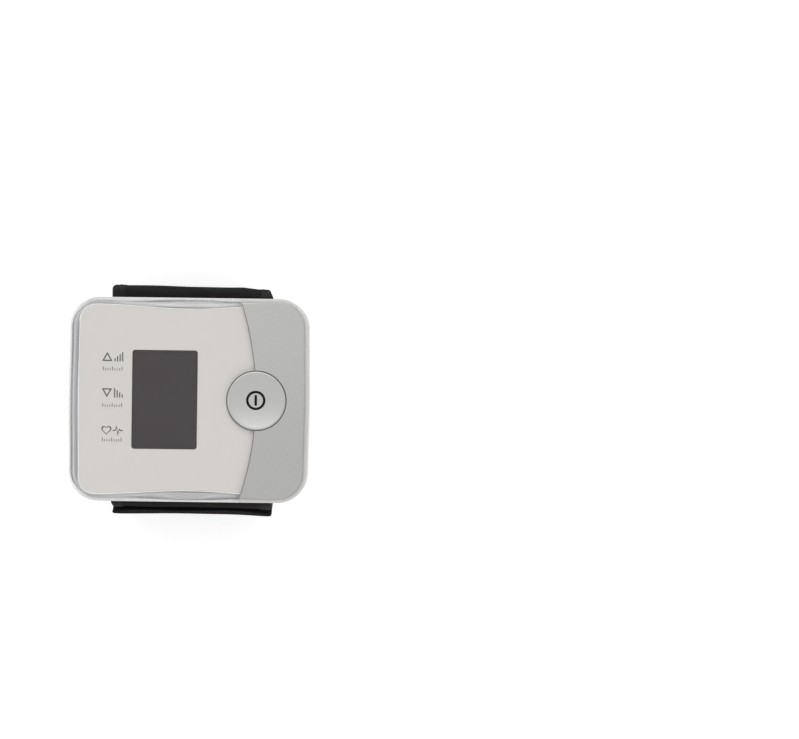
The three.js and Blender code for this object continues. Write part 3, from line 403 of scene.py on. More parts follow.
@dataclass(frozen=True)
class DisplayLayer(Surface):
    """An unlit liquid crystal display: dark grey, with its grid of electrodes just visible."""

    grid_pitch: float = 0.00042

    def shader(self, recipe: Recipe) -> bpy.types.Node:
        """Gives the display's shader.

        Args:
            recipe: What its nodes are added to.

        Returns:
            The shader.
        """
        at = recipe.place()
        x, y, _ = recipe.split(at)
        grid = x.wave(self.grid_pitch) * y.wave(self.grid_pitch)
        base = self.tones(recipe, grid.rise(0.5, 1.0) * 0.35, 1.0, 1.12)
        return recipe.principled(
            Base_Color=recipe.mix(recipe.noise(at, 26.0) * 0.5, base, self.tint(0.93)),
            Roughness=0.16 + recipe.noise(at, 90.0, 3.0) * 0.08,
            IOR=1.5,
        )


@dataclass(frozen=True)
class PrintedInk(Surface):
    """A thin layer of printed ink with slightly uneven cover."""

    gleam: float = 0.4

    def shader(self, recipe: Recipe) -> bpy.types.Node:
        """Gives the ink's shader.

        Args:
            recipe: What its nodes are added to.

        Returns:
            The shader.
        """
        cover = recipe.noise(recipe.place(), 5200.0)
        return recipe.principled(
            Base_Color=self.tones(recipe, cover.rise(0.5, 0.9) * 0.5, 1.0, 1.5),
            Roughness=0.5 + cover * 0.1,
            Specular_IOR_Level=self.gleam,
        )


@dataclass(frozen=True)
class LoopCloth(Surface):
    """Brushed loop cloth: short matted fibres that lie along the cloth, with a soft sheen."""

    lint: float = 0.5

    def shader(self, recipe: Recipe) -> bpy.types.Node:
        """Gives the cloth's shader.

        Args:
            recipe: What its nodes are added to.

        Returns:
            The shader.
        """
        at = recipe.cloth_place()
        tufts = recipe.noise(at, (1.4, 2.6, 1.0), 4.0, 0.7)
        fibres = recipe.noise(at, (3.0, 11.0, 1.0), 3.0, 0.75)
        nap = recipe.noise(at, (0.5, 0.95, 1.0), 3.0, 0.65)
        lint = recipe.noise(at, (0.9, 5.5, 1.0), 2.0, 0.4)
        base = self.tones(recipe, recipe.noise(at, (0.12, 0.2, 1.0), 3.0), 0.72, 1.2)
        base = recipe.mix(nap.rise(0.3, 0.62), recipe.mix(0.45, base, BLACK), base)
        base = recipe.mix(fibres.rise(0.45, 0.75), base, self.tint(1.9))
        base = recipe.mix(tufts.rise(0.42, 0.3) * 0.8, base, self.tint(0.45))
        base = recipe.mix(lint.rise(0.73, 0.8) * self.lint, base, self.tint(6.0))
        normal = recipe.bump(nap, 0.0006, 0.55)
        normal = recipe.bump(tufts, 0.00035, 0.7, normal)
        return recipe.principled(
            Base_Color=base,
            Roughness=0.86 + tufts * 0.12,
            Normal=recipe.bump(fibres, 0.00012, 0.8, normal),
            Specular_IOR_Level=0.05,
            Sheen_Weight=0.02,
            Sheen_Roughness=0.4,
        )


@dataclass(frozen=True)
class WovenCloth(Surface):
    """Smooth woven cloth: threads that cross over and under, at a pitch in millimetres.

    Its rib is how many times wider the threads are across than along.
    """

    pitch: float = 0.45
    roughness: float = 0.62
    rib: float = 1.0

    def shader(self, recipe: Recipe) -> bpy.types.Node:
        """Gives the cloth's shader.

        Args:
            recipe: What its nodes are added to.

        Returns:
            The shader.
        """
        at = recipe.cloth_place()
        u, v, _ = recipe.split(at)
        along, across = u.wave(self.pitch), v.wave(self.pitch * self.rib)
        weave = along * across + (1 - along) * (1 - across)
        slub = recipe.noise(at, (0.35, 3.0, 1.0), 3.0)
        base = self.tones(recipe, weave, 0.6, 1.35)
        return recipe.principled(
            Base_Color=recipe.mix(slub * 0.5, base, self.tint(1.5)),
            Roughness=self.roughness + (slub - 0.5) * 0.14,
            Normal=recipe.bump(weave + slub * 0.3, 0.00009, 0.7),
            Specular_IOR_Level=0.07,
        )


@dataclass(frozen=True)
class HookTape(Surface):
    """Hook tape: rows of small stiff hooks that stand on a woven ground."""

    pitch: float = 1.3

    def shader(self, recipe: Recipe) -> bpy.types.Node:
        """Gives the tape's shader.

        Args:
            recipe: What its nodes are added to.

        Returns:
            The shader.
        """
        at = recipe.cloth_place()
        height = recipe.cells(at, 1 / self.pitch, 0.25).rise(0.42, 0.12)
        ground = recipe.noise(at, 4.0)
        return recipe.principled(
            Base_Color=self.tones(recipe, height, 0.6, 2.4),
            Roughness=0.5 + ground * 0.2,
            Normal=recipe.bump(height + ground * 0.15, 0.0005, 0.9),
        )


@dataclass(frozen=True)
class PlatedMetal(Surface):
    """Plated or drawn metal with fine lines along one direction and faint clouding."""

    roughness: float = 0.28
    line_scale: Point = (40.0, 2500.0, 2500.0)

    def shader(self, recipe: Recipe) -> bpy.types.Node:
        """Gives the metal's shader.

        Args:
            recipe: What its nodes are added to.

        Returns:
            The shader.
        """
        at = recipe.place()
        lines = recipe.noise(at, self.line_scale, 3.0)
        return recipe.principled(
            Base_Color=self.tones(recipe, recipe.noise(at, 160.0, 3.0), 0.86, 1.1),
            Metallic=1.0,
            Roughness=self.roughness + (lines - 0.5) * 0.18,
            Normal=recipe.bump(lines, 0.000008, 0.5),
        )


@dataclass(frozen=True)
class BoardLacquer(Surface):
    """Green circuit board lacquer over straight copper tracks, with small plated holes."""

    plating: Colour = (0.55, 0.5, 0.32)

    def shader(self, recipe: Recipe) -> bpy.types.Node:
        """Gives the board's shader.

        Args:
            recipe: What its nodes are added to.

        Returns:
            The shader.
        """
        at = recipe.place()
        track = recipe.cells(at, 260.0, 0.35, "DISTANCE_TO_EDGE").rise(0.11, 0.06)
        holes = recipe.cells(at, 310.0, 0.5).rise(0.12, 0.07)
        base = self.tones(recipe, track * 0.8, 1.0, 2.3)
        return recipe.principled(
            Base_Color=recipe.mix(holes, base, self.plating),
            Metallic=holes * 0.9,
            Roughness=0.34 + recipe.noise(at, 700.0) * 0.12,
            Normal=recipe.bump(track, 0.00003, 0.5),
        )


@dataclass(frozen=True)
class StripedRubber(Surface):
    """Contact rubber: thin dark and light layers side by side along X."""

    pitch: float = 0.0003

    def shader(self, recipe: Recipe) -> bpy.types.Node:
        """Gives the rubber's shader.

        Args:
            recipe: What its nodes are added to.

        Returns:
            The shader.
        """
        at = recipe.place()
        stripe, grain = recipe.split(at)[0].wave(self.pitch).rise(0.4, 0.6), recipe.noise(at, 3000.0)
        return recipe.principled(
            Base_Color=self.tones(recipe, stripe, 0.3, 2.6),
            Roughness=0.7 + grain * 0.15,
            Normal=recipe.bump(grain, 0.00001, 0.5),
        )


@dataclass(frozen=True)
class OpenFoam(Surface):
    """Open foam: small round cells, with painted shade in their hollows."""

    def shader(self, recipe: Recipe) -> bpy.types.Node:
        """Gives the foam's shader.

        Args:
            recipe: What its nodes are added to.

        Returns:
            The shader.
        """
        # Painted shade: each cell is darker towards its middle, where its hollow lies.
        cell = recipe.cells(recipe.place(), 1900.0)
        return recipe.principled(
            Base_Color=self.tones(recipe, cell.rise(0.2, 0.7), 0.4, 1.8),
            Roughness=0.9 + cell * 0.08,
            Normal=recipe.bump(cell, 0.0003, 0.8),
        )


@dataclass(frozen=True)
class SoftPolymer(Surface):
    """Silicone, film or flexible sheet: slightly see-through, with a milky cloud and a soft gloss."""

    roughness: float = 0.45
    milkiness: float = 0.35

    def shader(self, recipe: Recipe) -> bpy.types.Node:
        """Gives the polymer's shader.

        Args:
            recipe: What its nodes are added to.

        Returns:
            The shader.
        """
        at = recipe.place()
        cloud = recipe.noise(at, 210.0, 3.0)
        return recipe.principled(
            Base_Color=self.tones(recipe, cloud, 0.92, 1.08),
            Roughness=self.roughness + (cloud - 0.5) * 0.14,
            Normal=recipe.bump(recipe.noise(at, 900.0), 0.00002, 0.5),
            Subsurface_Weight=self.milkiness,
            Subsurface_Scale=0.001,
        )


@dataclass(frozen=True)
class CellSleeve(Surface):
    """The printed sleeve of a battery cell, with a band and with bare metal at both ends along X."""

    nub_side: int
    band: Colour = (0.62, 0.42, 0.16)
    metal: Colour = (0.62, 0.62, 0.64)

    def shader(self, recipe: Recipe) -> bpy.types.Node:
        """Gives the cell's shader.

        Args:
            recipe: What its nodes are added to.

        Returns:
            The shader.
        """
        at = recipe.place()
        along = recipe.split(at)[0] * float(self.nub_side)
        nub, base_end = along.rise(0.0229, 0.0231), along.rise(-0.0195, -0.0197)
        bare = nub.maths("MAXIMUM", nub, base_end)
        cloud = recipe.noise(at, 300.0)
        base = recipe.mix(along.rise(0.0158, 0.016), self.tones(recipe, cloud, 0.9, 1.1), self.band)
        return recipe.principled(
            Base_Color=recipe.mix(bare, base, self.metal),
            Metallic=0.35 + bare * 0.6,
            Roughness=0.3 + cloud * 0.1,
            Coat_Weight=0.3,
        )


class Finish(Enum):
    """The finishes of the object's pieces, by the record's material slot or by use."""

    HOUSING_WHITE = MouldedPlastic("housing_white", (0.84, 0.825, 0.81))
    HOUSING_SILVER = SatinPaint("housing_silver", (0.482, 0.479, 0.468))
    BUTTON_SILVER = SatinPaint("button_silver", (0.565, 0.565, 0.555), 0.34, 0.42)
    CLEAR_ACRYLIC = ClearAcrylic("clear_acrylic", (0.975, 0.98, 0.985))
    PANEL_PRINT = PrintedSheet("panel_print", (0.72, 0.685, 0.645))
    DISPLAY_DARK = DisplayLayer("display_dark", (0.027, 0.018, 0.019))
    BLACK_PLASTIC = MouldedPlastic("black_plastic", (0.015, 0.015, 0.015), 0.5, 0.00002, 3000.0)
    WHITE_PLASTIC = MouldedPlastic("white_plastic", (0.74, 0.74, 0.74), 0.45)
    CONTACT_RUBBER = StripedRubber("contact_rubber", (0.1, 0.1, 0.1))
    BOARD_GREEN = BoardLacquer("board_green", (0.015, 0.1, 0.035))
    FOAM_BLACK = OpenFoam("foam_black", (0.02, 0.02, 0.02))
    SILICONE = SoftPolymer("silicone", (0.69, 0.71, 0.68), 0.4, 0.5)
    STEEL = PlatedMetal("steel", (0.5, 0.5, 0.52))
    CELL_LOWER = CellSleeve("cell_can", (0.045, 0.11, 0.25), 1)
    CELL_UPPER = CellSleeve("cell_can_turned", (0.045, 0.11, 0.25), -1)
    CUFF_FABRIC = LoopCloth("cuff_fabric", (0.0086, 0.008, 0.0082))
    EDGE_BINDING = WovenCloth("edge_binding", (0.0095, 0.009, 0.0093), 0.62, 0.78, 4.0)
    LINING_FABRIC = WovenCloth("lining_fabric", (0.02, 0.02, 0.021))
    HOOK_TAPE = HookTape("hook_tape", (0.01, 0.01, 0.011))
    THREAD = WovenCloth("thread", (0.02, 0.0195, 0.02), 0.3, 0.6)
    # Grey bonding strip under the clear rim: its grey is partly painted shade, with painted light away
    # from the left.
    SEAL_AND_SHADE_GREY = MouldedPlastic("seal_grey", (0.62, 0.605, 0.62), 0.6, painted_light_share=0.85)
    # Near white of the ring round the panel: a painted highlight.
    HIGHLIGHT_RING_WHITE = MouldedPlastic("border_white", (0.9, 0.88, 0.86), 0.5)
    CURLER = SoftPolymer("curler_plastic", (0.6, 0.62, 0.63), 0.4, 0.15)
    BLADDER = SoftPolymer("bladder_film", (0.33, 0.36, 0.39), 0.35, 0.3)
    LABEL_INK = PrintedInk("label_ink", (0.085, 0.083, 0.085))
    SIGN_INK = PrintedInk("sign_ink", (0.003, 0.003, 0.003), 0.15)

    def material(self) -> bpy.types.Material:
        """Gives the finish's material, built the first time it is asked for."""
        return bpy.data.materials.get(f"{self.value.name}_finish") or self.value.make()


# Mesh tools


@dataclass
class Shape:
    """A closed shape as points in millimetres and faces, before it becomes a mesh."""

    points: np.ndarray
    faces: list[list[int]]


class Cut(Enum):
    """What a tool does to the piece that it meets."""

    TAKE = "DIFFERENCE"
    JOIN = "UNION"
    KEEP = "INTERSECT"


def together(shapes: Sequence[Shape]) -> Shape:
    """Gives one shape of several that don't touch.

    Args:
        shapes: The shapes.

    Returns:
        All of them as one shape.
    """
    starts = np.cumsum([0] + [len(shape.points) for shape in shapes[:-1]]).tolist()
    faces = [
        [corner + start for corner in face]
        for shape, start in zip(shapes, starts)
        for face in shape.faces
    ]
    return Shape(np.concatenate([shape.points for shape in shapes]), faces)


def grid_faces(rings: int, columns: int, closed: bool = False) -> list[list[int]]:
    """Gives the quads between closed rings of points, listed ring by ring.

    Args:
        rings: How many rings there are.
        columns: How many points a ring has.
        closed: Whether the last ring joins the first.

    Returns:
        Four point numbers for each quad.
    """
    r, c = np.meshgrid(np.arange(rings if closed else rings - 1), np.arange(columns), indexing="ij")
    up, side = (r + 1) % rings, (c + 1) % columns
    corners = [r * columns + c, r * columns + side, up * columns + side, up * columns + c]
    return np.stack(corners, axis=-1).reshape(-1, 4).tolist()


def loft(rings: Sequence[np.ndarray] | np.ndarray, closed: bool = False) -> Shape:
    """Skins a row of closed rings.

    Args:
        rings: The rings' points, with shape (rings, points, 3).
        closed: Whether the last ring joins the first. Otherwise both ends get a flat face.

    Returns:
        The closed shape.
    """
    points = np.stack(rings)
    count, columns = points.shape[:2]
    faces = grid_faces(count, columns, closed)
    if not closed:
        faces += [list(range(columns))[::-1], list(range((count - 1) * columns, count * columns))]
    return Shape(points.reshape(-1, 3), faces)


def many_lofts(points: np.ndarray) -> Shape:
    """Gives many small lofts as one shape, from points with shape (lofts, rings, points, 3).

    Args:
        points: The points of every loft's rings.

    Returns:
        All the lofts as one shape.
    """
    count, rings, columns = points.shape[:3]
    one, step = loft(points[0]).faces, rings * columns
    faces = [[corner + i * step for corner in face] for i in range(count) for face in one]
    return Shape(points.reshape(-1, 3), faces)


def at_height(outline: np.ndarray, height: float) -> np.ndarray:
    """Gives a flat outline its height."""
    return np.column_stack([outline, np.full(len(outline), height)])


def prism(outline: np.ndarray, low: float, high: float) -> Shape:
    """Gives the upright solid over an outline."""
    return loft([at_height(outline, low), at_height(outline, high)])


def block(low: Point, high: Point) -> Shape:
    """Gives the box between two corners."""
    (x0, y0, z0), (x1, y1, z1) = low, high
    return prism(np.array([[x0, y0], [x1, y0], [x1, y1], [x0, y1]]), z0, z1)


def turned(profile: Sequence[tuple[float, float]], centre: tuple[float, float], steps: int) -> Shape:
    """Turns a profile about an upright axis: a point at angle a is (cx + r cos a, cy + r sin a, z).

    Args:
        profile: Pairs of radius and height, from the axis round to the axis.
        centre: The axis's x and y.
        steps: How many steps the turn has.

    Returns:
        The closed shape.
    """
    pairs = np.array(profile, float)
    inner = pairs[pairs[:, 0] > 1e-9]
    angle = np.linspace(0, TURN, steps, endpoint=False)
    ring = np.stack([np.cos(angle), np.sin(angle)], axis=-1)
    rings = np.empty((len(inner), steps, 3))
    rings[:, :, :2] = np.array(centre) + inner[:, None, 0:1] * ring
    rings[:, :, 2] = inner[:, 1:2]
    first, top = rings[:, :, 0].size, (len(inner) - 1) * steps
    poles = np.array([[*centre, pairs[0, 1]], [*centre, pairs[-1, 1]]])
    faces = grid_faces(len(inner), steps)
    faces += [[first, (i + 1) % steps, i] for i in range(steps)]
    faces += [[first + 1, top + i, top + (i + 1) % steps] for i in range(steps)]
    return Shape(np.concatenate([rings.reshape(-1, 3), poles]), faces)


def bar(radius: float, x: float, y: float, low: float, high: float, steps: int = 36) -> Shape:
    """Gives an upright round bar."""
    return turned([(0, low), (radius, low), (radius, high), (0, high)], (x, y), steps)


def bar_along_x(radius: float, low: float, high: float, y: float, z: float) -> Shape:
    """Gives a round bar along X.

    Args:
        radius: Its radius.
        low: The x of its left end.
        high: The x of its right end.
        y: Its axis's y.
        z: Its axis's z.

    Returns:
        The closed shape.
    """
    shape = bar(radius, 0, 0, low, high, 64)
    points = np.column_stack([shape.points[:, 2], shape.points[:, 0] + y, shape.points[:, 1] + z])
    return Shape(points, shape.faces)


def make_piece(
    name: str,
    shape: Shape,
    finish: Finish | None = None,
    uv: np.ndarray | None = None,
    sharp: float = 32.0,
) -> bpy.types.Object:
    """Makes an object of a shape.

    Args:
        name: The piece's name.
        shape: Its points in millimetres and its faces.
        finish: Its finish, if it gets one here.
        uv: A place on the cloth for every corner of every face.
        sharp: Edges that bend by more than this angle in degrees stay sharp.

    Returns:
        The object, at the origin.
    """
    mesh = bpy.data.meshes.new(name)
    mesh.from_pydata((shape.points * MM).tolist(), [], shape.faces)
    if uv is not None:
        mesh.uv_layers.new(name="cloth").data.foreach_set("uv", uv.astype(np.float32).ravel())
    made = bpy.data.objects.new(name, mesh)
    bpy.context.scene.collection.objects.link(made)
    tidy = bmesh.new()
    tidy.from_mesh(mesh)
    bmesh.ops.recalc_face_normals(tidy, faces=tidy.faces)
    tidy.to_mesh(mesh)
    tidy.free()
    mesh.shade_smooth()
    mesh.set_sharp_from_angle(angle=math.radians(sharp))
    if finish is not None:
        mesh.materials.append(finish.material())
    return made


def settle_modifiers(piece: bpy.types.Object) -> None:
    """Bakes a piece's modifiers into its mesh.

    Args:
        piece: The object.
    """
    bpy.context.view_layer.update()
    shown = piece.evaluated_get(bpy.context.evaluated_depsgraph_get())
    old, piece.data = piece.data, bpy.data.meshes.new_from_object(shown)
    piece.modifiers.clear()
    piece.data.name = piece.name
    bpy.data.meshes.remove(old)


def carve(piece: bpy.types.Object, cut: Cut, *tools: Shape | bpy.types.Object) -> None:
    """Joins tools to a piece, or cuts the piece with them. The tools are used up.

    Args:
        piece: The object that changes.
        cut: What the tools do.
        *tools: One object, or shapes that don't touch one another.
    """
    cutter = make_piece("tool", together(tools)) if isinstance(tools[0], Shape) else tools[0]
    change = piece.modifiers.new("carve", "BOOLEAN")
    change.operation, change.solver, change.object = cut.value, "MANIFOLD", cutter
    settle_modifiers(piece)
    mesh = cutter.data
    bpy.data.objects.remove(cutter)
    bpy.data.meshes.remove(mesh)


def even_shading(piece: bpy.types.Object) -> bpy.types.Object:
    """Shades a carved piece smoothly, with its large flat faces kept flat, and gives it back.

    Args:
        piece: The object.

    Returns:
        The same object.
    """
    piece.data.shade_smooth()
    piece.data.set_sharp_from_angle(angle=math.radians(32.0))
    weighted = piece.modifiers.new("even", "WEIGHTED_NORMAL")
    weighted.keep_sharp, weighted.weight = True, 100
    settle_modifiers(piece)
    return piece


def dress(
    piece: bpy.types.Object,
    slot: str,
    body: str | None,
    nodes: Sequence[str] = (),
    finish: Finish | None = None,
) -> None:
    """Gives a piece its finish and its body, hides the CAD nodes that it stands for and logs its slot.

    Args:
        piece: The object.
        slot: The record's material slot.
        body: The body that it rides on, or None where it rides on none.
        nodes: The CAD nodes that it replaces.
        finish: A finish to put on it.
    """
    if finish is not None:
        piece.data.materials.clear()
        piece.data.materials.append(finish.material())
    if nodes:
        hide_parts(*nodes)
    if body is not None:
        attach(piece, body)
    faces, carrier = len(piece.data.polygons), body or "two bodies"
    log.info("%s: %d faces, slot %s, on %s", piece.name, faces, slot, carrier)


def quarter(steps: int) -> np.ndarray:
    """Gives the angles of a quarter turn."""
    return np.linspace(0, math.pi / 2, steps + 1)


def rounded_outline(
    half_x: float,
    half_y: float,
    radius: float,
    waist: float = 0.0,
    crown: float = 0.0,
    steps: tuple[int, int, int] = (6, 1, 1),
) -> np.ndarray:
    """Gives a rounded rectangle, counter-clockwise.

    Its long sides are drawn in by waist * (1 + cos(pi s)) / 2 and its short sides swell by
    crown * (1 + cos(pi s)) / 2, where s runs from -1 to 1 along the straight part of a side.

    Args:
        half_x: Half its length.
        half_y: Half its width.
        radius: Its corners' radius.
        waist: How far the long sides are drawn in at mid length.
        crown: How far the short sides swell at mid length.
        steps: Steps in each corner, each long side and each short side.

    Returns:
        The outline's points, with shape (points, 2).
    """
    flat_x, flat_y = half_x - radius, half_y - radius
    turn = np.linspace(0, math.pi / 2, steps[0] + 1)[1:-1]
    long_s, short_s = (np.linspace(-1, 1, count + 1) for count in steps[1:])

    def swell(s: np.ndarray) -> np.ndarray:
        """Gives 1 at mid length and 0 at both ends."""
        return (1 + np.cos(math.pi * s)) / 2

    def corner(sign_x: int, sign_y: int, start: float) -> np.ndarray:
        """Gives a corner's points without its two ends.

        Args:
            sign_x: The side in x that it lies on, 1 or -1.
            sign_y: The side in y, 1 or -1.
            start: The angle that it starts at.

        Returns:
            The points, with shape (points, 2).
        """
        angle = start + turn
        return np.column_stack(
            [sign_x * flat_x + radius * np.cos(angle), sign_y * flat_y + radius * np.sin(angle)]
        )

    right = np.column_stack([half_x + crown * swell(short_s), short_s * flat_y])
    top = np.column_stack([-long_s * flat_x, half_y - waist * swell(long_s)])
    upper = [right, corner(1, 1, 0.0), top, corner(-1, 1, math.pi / 2)]
    lower = [-right, corner(-1, -1, math.pi), -top, corner(1, -1, 1.5 * math.pi)]
    return np.concatenate(upper + lower)


def window_outline(width: float, height: float, x: float) -> np.ndarray:
    """Gives a rectangle with corners of radius 1, centred on a point of the X axis."""
    return rounded_outline(width / 2, height / 2, 1.0, steps=(10, 1, 1)) + np.array([x, 0])


# The housing


@dataclass
class HousingForm:
    """Sizes and outlines that the pieces of the housing share."""

    body_length: float = 82.0
    body_width: float = 69.6
    corner: float = 10.2
    side_crown: float = 0.3
    face: float = 91.0
    parting: float = 84.0
    rear: float = 57.0
    wall: float = 2.0
    fit: float = 0.3
    front_inset: float = 0.6
    bevel_drop: float = 2.6
    end_bevel: float = 1.3
    side_bevel: float = 0.9
    waist_bevel: float = 1.7
    panel_end_margin: float = 3.2
    panel_side_margin: float = 2.2
    panel_waist: float = 1.4
    panel_corner: float = 5.2
    panel_top: float = 88.8
    platform_top: float = 88.0
    platform_under: float = 86.4
    button_x: float = 23.15
    button_bore: float = 10.27
    arc_radius: float = 108.0
    arc_apex: float = 23.0
    arc_gap: float = 0.17
    edge_round: float = 0.12
    case_screws: tuple[float, float] = (32.8, 26.0)
    board_screws: tuple[float, float] = (26.6, 24.4)
    retainer_screws: tuple[float, float] = (-12.0, 12.0)
    port_y: float = 9.0
    fine: tuple[int, int, int] = (30, 120, 80)

    def body_outline(self, inset: float) -> np.ndarray:
        """Gives the housing's outline, drawn in evenly.

        Args:
            inset: How far it is drawn in.

        Returns:
            The outline's points, with shape (points, 2).
        """
        half_x, half_y = self.body_length / 2 - self.side_crown - inset, self.body_width / 2 - inset
        radius = max(self.corner - inset, self.wall)
        return rounded_outline(half_x, half_y, radius, 0.0, self.side_crown, self.fine)

    def panel_outline(self, grow: float) -> np.ndarray:
        """Gives the outline that the printed panel and the platform under it share.

        Args:
            grow: How far it lies outside the panel's own outline.

        Returns:
            The outline's points, with shape (points, 2).
        """
        return rounded_outline(
            self.body_length / 2 - self.side_crown - self.front_inset - self.panel_end_margin + grow,
            self.body_width / 2 - self.front_inset - self.panel_side_margin + grow,
            self.panel_corner + grow,
            self.panel_waist,
            self.side_crown,
            self.fine,
        )

    def front_outline(self, share: float) -> np.ndarray:
        """Gives the front's outline at a share of the way up its bevel.

        Args:
            share: The share of the way up, from 0 to 1.

        Returns:
            The outline's points, with shape (points, 2).
        """
        return rounded_outline(
            self.body_length / 2 - self.side_crown - self.front_inset - share * self.end_bevel,
            self.body_width / 2 - self.front_inset - share * self.side_bevel,
            self.corner - self.front_inset - share * self.side_bevel,
            share * self.waist_bevel,
            self.side_crown,
            self.fine,
        )

    def front_envelope(self, low: float) -> Shape:
        """Gives the outside of the front, upright from low and then rounded up to the flat face.

        At angle a of a quarter turn the outline's share is 1 - cos a and its height is
        face - bevel_drop * (1 - sin a).

        Args:
            low: The height of its lower end.

        Returns:
            The closed shape.
        """
        rings = [at_height(self.front_outline(0.0), low)]
        for angle in quarter(20):
            height = self.face - self.bevel_drop * (1 - math.sin(angle))
            rings.append(at_height(self.front_outline(1 - math.cos(angle)), height))
        return loft(rings)

    def mouth(
        self, radius: float, low: float, way: int, centre: float, steps: tuple[int, int]
    ) -> Shape:
        """Gives an upright drum that leaves a rounded edge at the face.

        At angle a of a quarter turn its radius is radius + way * edge_round * (1 - cos a) and its
        height is face - edge_round * (1 - sin a).

        Args:
            radius: The drum's radius.
            low: The height of its lower end.
            way: 1 where it widens at the face, to cut, or -1 where it narrows, to keep.
            centre: The x of its axis.
            steps: How many steps its turn has, and its rounded edge.

        Returns:
            The closed shape.
        """
        angle, high = quarter(steps[1]), self.face + 1
        edge_r = radius + way * self.edge_round * (1 - np.cos(angle))
        edge_z = self.face - self.edge_round * (1 - np.sin(angle))
        profile = [(0, low), (radius, low), *zip(edge_r, edge_z), (edge_r[-1], high), (0, high)]
        return turned(profile, (centre, 0), steps[0])

    def arc_drum(self, change: float, way: int) -> Shape:
        """Gives the drum whose wall is the curved parting line of the face, changed in radius."""
        radius = self.arc_radius + change
        return self.mouth(radius, self.rear, way, self.arc_apex - self.arc_radius, (900, 6))

    def panel_side(self) -> Shape:
        """Gives the drum that keeps what lies on the panel's side of the parting line."""
        return self.arc_drum(-self.arc_gap / 2, -1)

    def button_mouth(self, low: float) -> Shape:
        """Gives the button's bore."""
        return self.mouth(self.button_bore, low, 1, self.button_x, (144, 8))

    def four_places(self) -> list[tuple[float, float]]:
        """Gives the places of the four case screws."""
        x, y = self.case_screws
        return [(-x, -y), (x, -y), (x, y), (-x, y)]

    def retainer_bars(self, radius: float, low: float, high: float, steps: int = 36) -> list[Shape]:
        """Gives two upright bars at the places of the retainer's screws."""
        return [bar(radius, x, 0, low, high, steps) for x in self.retainer_screws]


